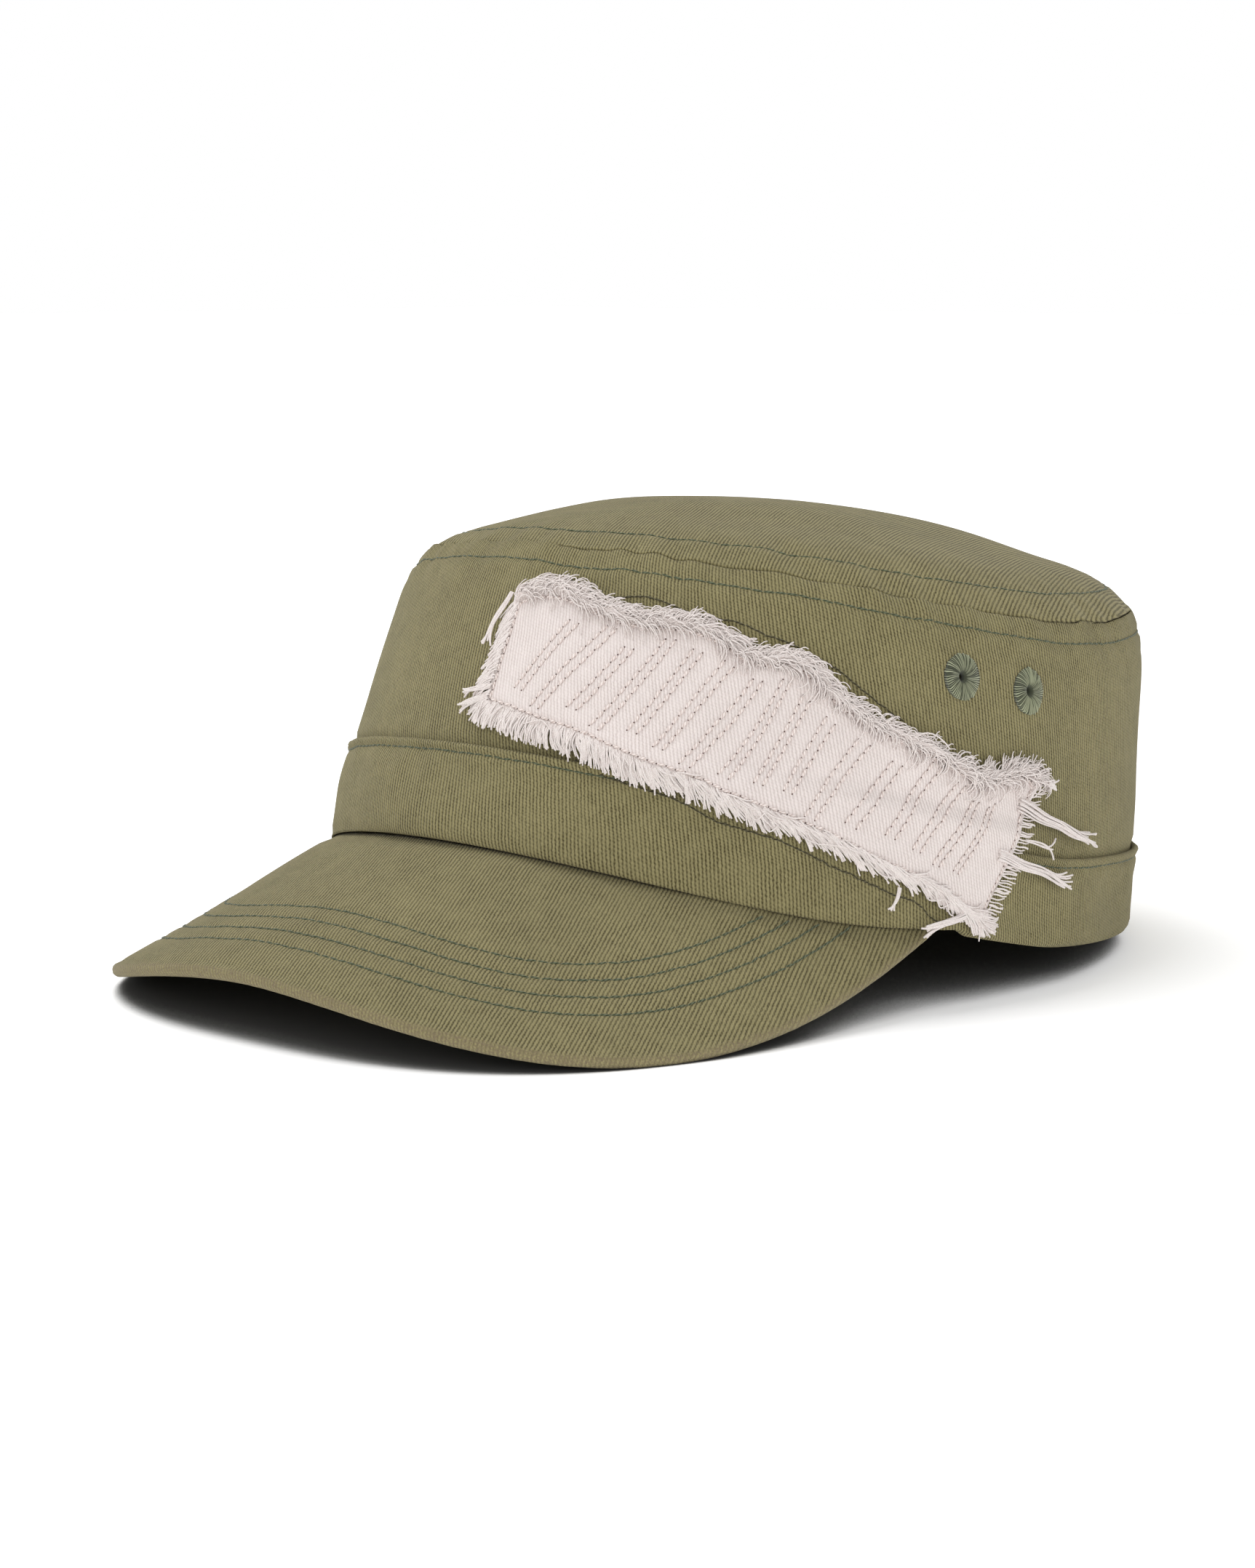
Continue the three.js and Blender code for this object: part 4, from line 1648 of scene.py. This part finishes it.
DARK_ROWS = (DarkRow(Side.HIGH, 0.1, 0.7, 2.6, 1.5), DarkRow(Side.LOW, 0.2, 0.84, 2.9, 0.4))


@dataclass
class Patch:
    """The pale cloth patch: a quilted woven sheet with frayed edges, loose tufts and dark rows beside it."""

    finishes: Finishes
    crown: Crown
    band: Band
    wrap_radius: float = 95 * MM
    flat_size: tuple[float, float] = (0.144, 0.0315)
    area_share: float = 0.94
    thickness: float = 0.8 * MM
    trim: float = 1.5 * MM
    corner_drop: float = 2.6 * MM
    low_jags: Ripples = Ripples(1 / 70, 1.0, 0.3 * MM, 101.0)
    high_jags: Ripples = Ripples(1 / 70, 1.0, 0.3 * MM, 102.0)
    inset: float = 1.7 * MM
    quilt_pair: float = 2.3 * MM
    quilt_step: float = 7.4 * MM
    quilt_slant: float = 0.5
    puff: float = 0.3 * MM
    puff_width: float = 0.8 * MM
    waves: Ripples = Ripples(12 * MM, 11 * MM, 0.22 * MM, 111.0)
    curl: float = 1.2 * MM
    curls: Ripples = Ripples(1 / 22, 1.0, 0.9 * MM, 112.0)
    worn_edge: float = 1.6 * MM
    columns: int = 320
    rows_up: int = 76
    quilting: StitchStyle = StitchStyle(2.2 * MM, 2.05 * MM, radius=0.34 * MM)
    outline: StitchStyle = StitchStyle(2.4 * MM, 2.6 * MM, radius=0.2 * MM, sink=0.1 * MM)

    def edge(self, key: str, share: Array) -> Array:
        """One column of the stations' table, smoothed between its rows.

        Args:
            key: The column's name.
            share: Shares along the patch.

        Returns:
            The column's values there, in metres.
        """
        smoothing = 0.35
        values = np.array([getattr(station, key) for station in PATCH_STATIONS])
        at = np.asarray(share, float) * (len(values) - 1)
        places = np.arange(len(values))
        near = np.stack([np.interp(at + shift, places, values) for shift in (-smoothing, 0.0, smoothing)])
        return near.mean(axis=0) * MM

    def from_edge(self, share: Array, up: Array) -> Array:
        """Distance from the sheet's nearest edge."""
        width, height = self.flat_size
        return np.minimum(np.minimum(share, 1 - share) * width, np.minimum(up, 1 - up) * height)

    def place(self, share: Array, up: Array) -> tuple[Array, Array]:
        """Where a place on the sheet lies.

        Args:
            share: Shares along the sheet.
            up: Shares up the sheet.

        Returns:
            The distances round the cap and the heights.
        """
        low_jag = self.low_jags.at(share) * (1 - up)
        high_jag = self.high_jags.at(share) * up
        round_to = self.edge("low_along", share) * (1 - up) + self.edge("high_along", share) * up
        low = self.edge("low", share) + self.trim - self.corner_drop * eased(share, 0.8, 1.0)
        high = self.edge("high", share) - self.trim
        return round_to + self.trim * (1 - 2 * share), low * (1 - up) + high * up + low_jag + high_jag

    def over_side(self, along: Array, height: Array, lift: Array) -> Array:
        """Points over the side wall and the band's fold.

        Args:
            along: Distances round the cap.
            height: Heights above the rim.
            lift: Distances off what lies under the patch.

        Returns:
            The points in the cap's own frame.
        """
        angle = along / self.wrap_radius
        fold = SHAPE.band_height(angle)
        on_band = 1 - eased(height - fold, 3 * MM, 8 * MM)
        run = height / SHAPE.wall_height(angle)
        wall = np.maximum(self.crown.relief(angle, run), -0.3 * MM) * (1 - on_band)
        off = SHAPE.gap + self.band.fold_outset * on_band + wall + lift
        return SHAPE.off_shell(angle, run, off)

    def quilt_rows(self) -> Iterator[tuple[Array, Array]]:
        """Lines of the slanted rows.

        Returns:
            Shares along and up the patch, for one row after another.
        """
        chance = np.random.default_rng(23)
        first, last, from_row = 3.2, 2.0, 1.6
        length, height = self.flat_size
        slant = self.quilt_slant * height / length
        start = first * self.inset / length
        while start + slant + self.quilt_pair / length < 1 - last * self.inset / length:
            ends = np.full(2, from_row) * self.inset / height + chance.uniform(0.0, 0.16, 2)
            for shift in (0.0, self.quilt_pair / length):
                up = np.linspace(ends[0], 1 - ends[1], 60)
                yield start + shift + slant * up, up
            start += self.quilt_step / length

    def relief(self, share: Array, up: Array) -> Array:
        """How far the sheet stands off what it is sewn to: puffs between the rows, and edges that lift.

        Args:
            share: Shares along the sheet.
            up: Shares up the sheet.

        Returns:
            Distances outwards.
        """
        width, height = self.flat_size
        from_edge = self.from_edge(share, up)
        distance = np.abs(from_edge - self.inset)
        for row_share, row_up in self.quilt_rows():
            beyond = np.maximum(np.maximum(row_up[0] - up, up - row_up[-1]), 0.0) * height
            sideways = (share - np.interp(up, row_up, row_share)) * width
            distance = np.minimum(distance, np.hypot(sideways, beyond))
        puff = self.puff * (1 - hump(distance, self.puff_width))
        waves = self.waves.at(share * width, up * height)
        free = 1 - eased(from_edge, 0.0, self.inset)
        top_curl = eased(up, 0.8, 1.0) * (self.curl + self.curls.at(share))
        return self.thickness + puff + waves + free * top_curl

    def on_sheet(self, share: Array, up: Array) -> Path:
        """A line over the finished sheet.

        Args:
            share: Shares along the sheet.
            up: Shares up the sheet.

        Returns:
            The line.
        """
        along, height = self.place(share, up)
        points = self.over_side(along, height, self.relief(share, up))
        angle = along / self.wrap_radius
        return Path(points, SHAPE.shell_normal(angle, height / SHAPE.wall_height(angle)))

    def sheet(self) -> bpy.types.Object:
        """Makes the woven sheet.

        Returns:
            The finished piece.
        """

        def lay(share: Array, up: Array) -> Laid:
            """Where the sheet lies.

            Args:
                share: Shares along the sheet.
                up: Shares up the sheet.

            Returns:
                The points, their places on the cloth and their wear.
            """
            along, height = self.place(share, up)
            points = self.over_side(along, height, self.relief(share, up))
            cloth = np.stack([along, height], axis=1)
            worn = 0.8 * (1 - eased(self.from_edge(share, up), 0.0, self.worn_edge))
            return Laid(points, cloth, worn)

        bm = wrapped_sheet(self.columns, self.rows_up, lay)
        material = self.finishes.patch.material()
        piece = dressed("patch_cloth", bm, material, Slot.PALE, "patch")
        wall = piece.modifiers.new("cloth_thickness", "SOLIDIFY")
        wall.thickness = self.thickness
        wall.offset = -1.0
        return piece

    def quilting_rows(self) -> list[Path]:
        """The sheet's stitched rows: one round its edge, and slanted pairs from edge row to edge row.

        Returns:
            The rows' lines.
        """
        side, rise = self.inset / self.flat_size[0], self.inset / self.flat_size[1]
        corners = [(side, rise), (1 - side, rise), (1 - side, 1 - rise), (side, 1 - rise), (side, rise)]
        round_edge = np.concatenate([np.linspace(a, b, 200) for a, b in zip(corners, corners[1:])])
        return [self.on_sheet(*row) for row in (round_edge.T, *self.quilt_rows())]

    def quilting_threads(self) -> bpy.types.Object:
        """Makes the stitches that show on the sheet.

        Returns:
            The finished piece.
        """
        bm = sew(self.quilting_rows(), self.quilting, seed=8)
        return dressed("patch_stitches", bm, self.finishes.quilting.material(), Slot.PALE)

    def needle_hole_shades(self) -> bpy.types.Object:
        """Makes small dark beads of painted shade for the needle holes, where the thread goes into the sheet.

        Returns:
            The finished piece.
        """
        radius, flatness, proud = 0.22 * MM, 0.35, 0.05 * MM
        bm = bmesh.new()
        for path in self.quilting_rows():
            points, normals = path.spaced(self.quilting.pitch)
            places = SHAPE.set_down(points)
            outward = unit(SHAPE.set_down(points + normals * MM) - places)
            for place, direction in zip(places, outward):
                up = Vector(direction)
                turned = up.to_track_quat("Z", "Y").to_matrix().to_4x4()
                scaled = Matrix.Diagonal((radius, radius, radius * flatness, 1.0))
                matrix = Matrix.Translation(Vector(place) + up * proud) @ turned @ scaled
                bmesh.ops.create_icosphere(bm, subdivisions=1, radius=1.0, matrix=matrix)
        return dressed("patch_needle_hole_shades", bm, self.finishes.needle_hole_shade.material(), Slot.PALE)

    def outline_row(self) -> bpy.types.Object:
        """Makes the dark stitches that wander in and out from under the frayed edges.

        Returns:
            The finished piece.
        """
        paths = []
        for row in DARK_ROWS:
            share = np.linspace(row.first, row.last, 400)
            out = (row.out + row.swing * np.sin(share * row.swings) + row.wander.at(share)) * MM
            angle = self.edge(f"{row.side.value}_along", share) / self.wrap_radius
            height = self.edge(row.side.value, share) + (out if row.side is Side.HIGH else -out)
            run = height / SHAPE.wall_height(angle)
            if row.side is Side.HIGH:
                paths.append(self.crown.surface(angle, run))
                continue
            on_band = height < SHAPE.band_height(angle) - MM
            lying = self.band.stand(angle, height, self.band.outset + self.band.relief(angle, height))
            points = np.where(on_band[:, None], lying, self.crown.surface(angle, run).points)
            paths.append(Path(points, SHAPE.shell_normal(angle, run)))
        bm = sew(paths, self.outline, seed=9)
        return dressed("patch_outline_stitches", bm, self.finishes.outline.material(), Slot.THREAD)

    def build(self) -> None:
        sheet = self.sheet()
        fringe = Fringe(self).pieces()
        stitches = self.quilting_threads()
        holes = self.needle_hole_shades()
        self.outline_row()


@dataclass(frozen=True)
class FrayStyle:
    """How one layer of yarns comes out of an edge.

    The heading at places along the edge is given in degrees from straight out, and so are how far a yarn has
    turned at its tip and how much neighbouring yarns differ.
    """

    side: Side
    spacing: float
    length: float
    heading: tuple[float, ...]
    turning: float
    unrest: float
    rise: float
    seed: int


@dataclass(frozen=True)
class Tuft:
    """A twisted lock of yarns, from a root to a tip, in millimetres round and up from the rim."""

    root: tuple[float, float]
    tip: tuple[float, float]
    yarns: int
    thick: float
    fan: float
    seed: int


FRAYS = {
    "low": (
        FrayStyle(Side.LOW, 0.22 * MM, 5.2 * MM, (-14, 18, 38, 54, 64, 66), 12, 7, 0.25 * MM, 31),
        FrayStyle(Side.LOW, 0.3 * MM, 5.0 * MM, (-18, 24, 44, 62, 74, 76), 22, 11, 0.6 * MM, 32),
        FrayStyle(Side.LOW, 3.0 * MM, 5.4 * MM, (-20, 30, 50, 66, 76, 80), 30, 30, 1.0 * MM, 33),
    ),
    "high": (
        FrayStyle(Side.HIGH, 0.235 * MM, 4.9 * MM, (-12, -6, 0, 4, 4, -4), 100, 15, 0.8 * MM, 34),
        FrayStyle(Side.HIGH, 0.235 * MM, 5.8 * MM, (10, 22, 30, 36, 36, 22), 118, 22, 1.4 * MM, 35),
        FrayStyle(Side.HIGH, 0.3 * MM, 5.2 * MM, (40, 56, 64, 70, 70, 56), 84, 34, 1.9 * MM, 36),
        FrayStyle(Side.HIGH, 0.6 * MM, 3.2 * MM, (-30, -10, 0, 10, 10, 0), 90, 34, 1.4 * MM, 40),
    ),
    "ends": (
        FrayStyle(Side.BACK, 0.58 * MM, 5.0 * MM, (18, 22, 26), 4, 3, 0.1 * MM, 37),
        FrayStyle(Side.FRONT, 0.27 * MM, 5.0 * MM, (-10, -24, -34, -38), -16, 8, 0.3 * MM, 38),
        FrayStyle(Side.FRONT, 0.5 * MM, 4.8 * MM, (-14, -34, -48, -54), -24, 16, 0.6 * MM, 39),
    ),
}
TUFTS = (
    Tuft((136, 30.6), (166.0, 24.2), 12, 2.8, 0.8, 41),
    Tuft((130, 18.8), (156.5, 14.8), 12, 2.8, 0.9, 42),
    Tuft((138, 22.8), (148.6, 22.2), 3, 0.6, 1.4, 43),
    Tuft((122, 4.6), (111.6, -0.4), 12, 2.2, 0.6, 44),
    Tuft((104, 8), (102.8, 2.8), 4, 0.8, 0.5, 45),
    Tuft((-1.2, 57), (-2.8, 44.4), 6, 1.2, 1.0, 46),
    Tuft((139, 37.5), (148.6, 36.2), 9, 2.0, 0.7, 48),
    Tuft((3.4, 33.0), (-3.2, 29.6), 8, 1.5, 0.7, 49),
    Tuft((2.8, 35.2), (-3.4, 33.0), 7, 1.3, 0.7, 50),
)


@dataclass
class Fringe:
    """The frayed yarns along the patch's edges, its tufts and the long yarns that lie loose along it."""

    patch: Patch
    radius: float = 0.2 * MM
    high_thinning: float = 0.68
    high_looseness: float = 1.6
    joints: int = 8
    tuft_joints: int = 16
    loose_yarns: int = 20

    def edge_place(self, side: Side, share: Array) -> tuple[Array, Array, Array]:
        """Places just inside an edge, with the directions out of the cloth and along the edge.

        Args:
            side: Which edge.
            share: Shares of the way along the edge.

        Returns:
            The places, the outward directions and the edge's directions, each as distance round and height.
        """
        step, inside = 0.004, 0.02
        near_end = inside / 4
        fixed = {Side.LOW: inside, Side.HIGH: 1 - inside, Side.FRONT: near_end, Side.BACK: 1 - near_end}[side]
        lengthwise = side in (Side.LOW, Side.HIGH)
        pair = (share, np.full_like(share, fixed)) if lengthwise else (np.full_like(share, fixed), share)
        ahead = (share + step, pair[1]) if lengthwise else (pair[0], share + step)
        along, height = self.patch.place(*pair)
        next_along, next_height = self.patch.place(*ahead)
        onward = unit(np.stack([next_along - along, next_height - height], axis=1))
        sign = 1.0 if side in (Side.LOW, Side.BACK) else -1.0
        outward = sign * np.stack([onward[:, 1], -onward[:, 0]], axis=1)
        return np.stack([along, height], axis=1), outward, onward

    def frayed(self, style: FrayStyle) -> Array:
        """The yarns of one layer.

        Args:
            style: How the layer frays.

        Returns:
            Distance round, height, lift and radius for each yarn and joint.
        """
        chance = np.random.default_rng(style.seed)
        lengthwise = style.side in (Side.LOW, Side.HIGH)
        span = self.patch.flat_size[0 if lengthwise else 1]
        count = int(span / style.spacing)
        share = np.clip((np.arange(count) + chance.uniform(-0.4, 0.4, count)) / count, 0.002, 0.99)
        place, outward, onward = (part[:, None, :] for part in self.edge_place(style.side, share))
        far = share * span
        layer = float(style.seed)
        lock = rough(far / (1.9 * MM), 0.0, layer)
        mood = rough(far / (5.5 * MM), 3.0, layer)
        own = chance.normal(0.0, 1.0, count)
        heading = np.interp(share, np.linspace(0, 1, len(style.heading)), style.heading)
        loose = self.high_looseness if style.side is Side.HIGH else 1.0
        heading = np.radians(heading + style.unrest * (0.8 * lock + 0.9 * mood + 0.3 * loose * own))
        each = chance.normal(0, 1, (3, count))
        turning = style.turning * (1 + 0.5 * rough(far / (3 * MM), 7.0, layer)) + 6 * loose * each[0]
        turning = np.radians(turning)
        reach = style.length * (1 + 0.1 * rough(far / (4 * MM), 11.0, layer) + 0.05 * loose * each[1])
        rise = style.rise * (1 + 0.5 * rough(far / (2.5 * MM), 13.0, layer) + 0.15 * loose * each[2])
        q = np.linspace(0.0, 1.0, self.joints)[None, :]
        phase = chance.uniform(0, TURN, count)[:, None]
        wiggle = 0.14 * loose * np.sin(q * 7 + phase)
        way = heading[:, None] + turning[:, None] * q**1.2 + wiggle
        step = reach[:, None] / (self.joints - 1)
        out = np.cumsum(np.cos(way), axis=1) * step
        off = np.cumsum(np.sin(way), axis=1) * step
        start = chance.uniform(-1.2, -0.2, count)[:, None] * MM
        row = place + outward * (out + start)[..., None] + onward * off[..., None]
        lift = 0.62 * MM * (1 - q) + 0.12 * MM + rise[:, None] * np.sin(q * 2.6 + 0.25)
        thick = self.radius * (self.high_thinning if style.side is Side.HIGH else 1.0)
        radius = thick * chance.uniform(0.8, 1.15, count)[:, None] * (1.0 - 0.12 * q**3)
        return np.stack([row[..., 0], row[..., 1], lift, radius], axis=2)

    def tuft(self, tuft: Tuft) -> Array:
        """The yarns of a tuft, twisted together along it and splayed at its tip.

        Args:
            tuft: The tuft.

        Returns:
            Distance round, height, lift and radius for each yarn and joint.
        """
        chance = np.random.default_rng(tuft.seed)
        root, tip = np.array(tuft.root) * MM, np.array(tuft.tip) * MM
        length = float(np.linalg.norm(tip - root))
        ahead = (tip - root) / length
        side = np.array([-ahead[1], ahead[0]])
        q = np.linspace(0.0, 1.0, self.tuft_joints)
        yarns = []
        for k in range(tuft.yarns):
            turn = TURN * k / tuft.yarns + q * length / (24 * MM)
            near = chance.uniform(0.35, 1.0)
            wide = tuft.thick * MM / 2 * near * (1.0 - 0.35 * q) + chance.normal(0, 0.08) * MM
            splay = (k / max(tuft.yarns - 1, 1) - 0.5) * tuft.fan * 3.4 * MM * q**6
            wave = 0.22 * MM * np.sin(q * length / (2.2 * MM) + chance.uniform(0, 1.5))
            off = np.cos(turn) * wide + splay + wave
            reach = length * chance.uniform(0.88, 1.04)
            line = root + ahead * (q * reach)[:, None] + side * off[:, None]
            lift = 0.9 * MM + 0.4 * np.sin(turn) * wide + 0.6 * MM * np.sin(q * math.pi)
            radius = np.full_like(q, self.radius * 1.15)
            yarns.append(np.stack([line[:, 0], line[:, 1], lift, radius], axis=1))
        return np.array(yarns)

    def loose(self) -> Array:
        """Long yarns that have come out of the weave and lie along the edges.

        Returns:
            Distance round, height, lift and radius for each yarn and joint.
        """
        chance = np.random.default_rng(51)
        yarns = []
        for k in range(self.loose_yarns):
            high = k % 3 != 0
            q = np.linspace(0.0, 1.0, self.tuft_joints)
            share = chance.uniform(0.02, 0.82) + q * chance.uniform(0.04, 0.13)
            wave = np.sin(q * chance.uniform(4, 9) + chance.uniform(0, TURN)) * chance.uniform(0.02, 0.06)
            up = (chance.uniform(0.97, 1.06) if high else chance.uniform(-0.06, 0.0)) + wave
            along, height = self.patch.place(share, up)
            lift = (1.5 if high else 0.8) * MM + 0.8 * MM * np.abs(np.sin(q * 4 + k))
            yarns.append(np.stack([along, height, lift, np.full_like(q, self.radius * 0.8)], axis=1))
        return np.array(yarns)

    def pieces(self) -> list[bpy.types.Object]:
        """Makes all the yarns, as one piece for each long edge and one for the ends and the loose yarns.

        Returns:
            The finished pieces.
        """
        groups: dict[str, list[Array]] = {}
        for name, styles in FRAYS.items():
            groups[name] = [yarn for style in styles for yarn in self.frayed(style)]
        groups["ends"] += [yarn for tuft in TUFTS for yarn in self.tuft(tuft)]
        groups["ends"] += list(self.loose())
        material = self.patch.finishes.fringe.material()
        return [self.drawn(f"patch_fringe_{name}", yarns, material) for name, yarns in groups.items()]

    def drawn(self, name: str, yarns: list[Array], material: bpy.types.Material) -> bpy.types.Object:
        """Draws yarns as round threads.

        Args:
            name: The piece's name.
            yarns: The yarns' rows.
            material: Their finish.

        Returns:
            The finished piece.
        """
        flat = np.concatenate(yarns)
        root_height = 0.6 * self.patch.thickness
        lift = flat[:, 2] + root_height
        places = SHAPE.set_down(self.patch.over_side(flat[:, 0], flat[:, 1], lift))
        curve = bpy.data.curves.new(name, "CURVE")
        curve.dimensions = "3D"
        curve.bevel_depth = 1.0
        curve.bevel_resolution = 1
        curve.use_fill_caps = True
        first = 0
        for yarn in yarns:
            spline = curve.splines.new("POLY")
            spline.points.add(len(yarn) - 1)
            for point, place, radius in zip(spline.points, places[first:], yarn[:, 3]):
                point.co = (*place, 1.0)
                point.radius = radius
            first += len(yarn)
        drawn = bpy.data.objects.new(name, curve)
        mesh = bpy.data.meshes.new_from_object(drawn)
        bpy.data.curves.remove(curve)
        mesh.materials.clear()
        mesh.shade_smooth()
        return tied(bpy.data.objects.new(name, mesh), material, Slot.PALE)


@dataclass(frozen=True)
class Softbox:
    """A square lamp that faces the cap, with its power in watts."""

    name: str
    place: tuple[float, float, float]
    power: float
    width: float = 1.1


SOFTBOXES = (
    Softbox("left_overhead_light", (-0.5, -0.1, 1.6), 15.5),
    Softbox("front_fill_light", (1.05, -1.05, 0.4), 4.8),
    Softbox("right_fill_light", (1.5, -0.2, 0.4), 0.3),
)


@dataclass
class Studio:
    """The pale floor, the soft lights and the camera at the photograph's angle."""

    azimuth: float = math.radians(42.83)
    elevation: float = math.radians(8.55)
    distance: float = 0.85
    photo_height: int = 2156
    pixels_per_mm: float = 5.851
    middle_right: float = 34.77
    middle_down: float = 23.0
    aim: tuple[float, float, float] = (-0.00157, -0.00136, 0.0375)
    sensor: float = 36.0
    ring_light: float = 1.12
    zenith_light: float = 0.36
    floor_size: float = 8.0
    # floor_dark is the colour of the painted contact shadow; floor_glow and far_glow drive the floor's
    # painted glow.
    floor_dark: float = 0.11
    floor_light: float = 0.95
    floor_glow: float = 0.3
    far_glow: float = 0.4
    shadow_reach: float = 0.12
    shadow_depth: float = 2.4
    glow_fading: float = 7.0

    def floor(self) -> None:
        """Makes the floor that the cap lies on, with a painted contact shadow darkening it close to the cap,
        and a painted glow that keeps the open floor white.
        """
        bm = bmesh.new()
        bmesh.ops.create_grid(bm, x_segments=2, y_segments=2, size=self.floor_size)
        mesh = bpy.data.meshes.new("floor")
        bm.to_mesh(mesh)
        bm.free()
        floor = bpy.data.objects.new("floor", mesh)
        bpy.context.scene.collection.objects.link(floor)
        graph = Graph("white_floor")
        shader = graph.node("ShaderNodeBsdfDiffuse")
        openness = graph.node("ShaderNodeAmbientOcclusion", samples=16)
        graph.feed(openness.inputs["Distance"], self.shadow_reach)
        # Painted contact shadow: the floor's colour darkens where ambient occlusion finds the cap close by.
        share = graph.step(openness.outputs["AO"], 0.16, 0.58)
        shaded = graph.math("POWER", share, self.shadow_depth)
        dark, light = ((level, level, level, 1.0) for level in (self.floor_dark, self.floor_light))
        graph.feed(shader.inputs["Color"], graph.mix(shaded, dark, light))
        glow = graph.node("ShaderNodeEmission")
        away = graph.node("ShaderNodeVectorMath", operation="LENGTH")
        graph.feed(away.inputs[0], graph.node("ShaderNodeTexCoord").outputs["Object"])
        far = graph.math("MULTIPLY", graph.step(away.outputs["Value"], 0.35, 2.2), self.far_glow)
        # Painted glow: fades out into the painted shadow, and grows with distance from the middle.
        glowing = graph.math("POWER", share, self.glow_fading)
        strength = graph.math("MULTIPLY_ADD", glowing, self.floor_glow, far)
        graph.feed(glow.inputs["Strength"], strength)
        both = graph.node("ShaderNodeAddShader")
        graph.feed(both.inputs[0], shader.outputs[0])
        graph.feed(both.inputs[1], glow.outputs[0])
        output = graph.node("ShaderNodeOutputMaterial")
        graph.feed(output.inputs[0], both.outputs[0])
        mesh.materials.append(graph.material)

    def world(self) -> None:
        """Surrounds the cap with a white horizon, a soft ring of light above it and a dimmer zenith."""
        world = bpy.data.worlds.new("white_surround")
        world.use_nodes = True
        nodes, links = world.node_tree.nodes, world.node_tree.links
        background = nodes["Background"]
        background.inputs[0].default_value = (1.0, 1.0, 1.0, 1.0)
        ramp = nodes.new("ShaderNodeValToRGB")
        split = nodes.new("ShaderNodeSeparateXYZ")
        brightest = nodes.new("ShaderNodeMath")
        brightest.operation = "MULTIPLY"
        brightest.inputs[1].default_value = self.ring_light
        links.new(nodes.new("ShaderNodeTexCoord").outputs["Generated"], split.inputs[0])
        links.new(split.outputs[2], ramp.inputs[0])
        links.new(ramp.outputs[0], brightest.inputs[0])
        links.new(brightest.outputs[0], background.inputs[1])
        horizon, zenith = 1.0 / self.ring_light, self.zenith_light / self.ring_light
        elements = ramp.color_ramp.elements
        stops = ((0.12, horizon), (0.19, 0.65), (0.25, 1.0), (0.45, 1.0), (0.62, zenith))
        elements[0].position, elements[1].position = stops[0][0], stops[-1][0]
        for height, _ in stops[1:-1]:
            elements.new(height)
        for element, (_, level) in zip(elements, stops):
            element.color = (level, level, level, 1.0)
        bpy.context.scene.world = world

    def hang(self, softbox: Softbox) -> None:
        """Hangs a lamp.

        Args:
            softbox: Which lamp.
        """
        data = bpy.data.lights.new(softbox.name, "AREA")
        data.shape = "SQUARE"
        data.size = softbox.width
        data.energy = softbox.power
        lamp = bpy.data.objects.new(softbox.name, data)
        lamp.location = softbox.place
        aim = Vector(self.aim) - Vector(softbox.place)
        lamp.rotation_mode = "QUATERNION"
        lamp.rotation_quaternion = aim.to_track_quat("-Z", "Y")
        bpy.context.scene.collection.objects.link(lamp)

    def camera(self) -> None:
        """Sets up the camera where the photograph was taken from."""
        focal = self.pixels_per_mm * self.distance / MM
        data = bpy.data.cameras.new("camera")
        data.sensor_width = self.sensor
        data.lens = focal * self.sensor / self.photo_height
        data.shift_x = -self.middle_right / self.photo_height
        data.shift_y = self.middle_down / self.photo_height
        cosine, sine = math.cos(self.elevation), math.sin(self.elevation)
        back = Vector((math.sin(self.azimuth) * cosine, -math.cos(self.azimuth) * cosine, sine))
        camera = bpy.data.objects.new("camera", data)
        camera.location = Vector(self.aim) + back * self.distance
        camera.rotation_mode = "QUATERNION"
        camera.rotation_quaternion = (-back).to_track_quat("-Z", "Y")
        bpy.context.scene.collection.objects.link(camera)
        bpy.context.scene.camera = camera

    def build(self) -> None:
        """Makes the whole studio."""
        self.floor()
        self.world()
        for softbox in SOFTBOXES:
            self.hang(softbox)
        self.camera()
        bpy.context.scene.view_settings.view_transform = "Standard"


FINISHES = Finishes()
PEAK = Peak(FINISHES)


def main() -> None:
    """Builds the studio and the cap's sub-assemblies in order."""
    logging.basicConfig(level=logging.INFO, format="%(message)s")
    Studio().build()
    crown = Crown(FINISHES)
    eyelets = Eyelets(FINISHES, crown)
    places = eyelets.places()
    crown.side_wall(list(places.values()))
    crown.top_panel()
    crown.seam_rows()
    band = Band(FINISHES)
    band.strip()
    band.fold_row()
    PEAK.board()
    PEAK.rows()
    for layer, (name, (angle, run)) in enumerate(places.items()):
        eyelets.ring(name, angle, run, layer * 3.1)
    Patch(FINISHES, crown, band).build()


if __name__ == "__main__":
    main()
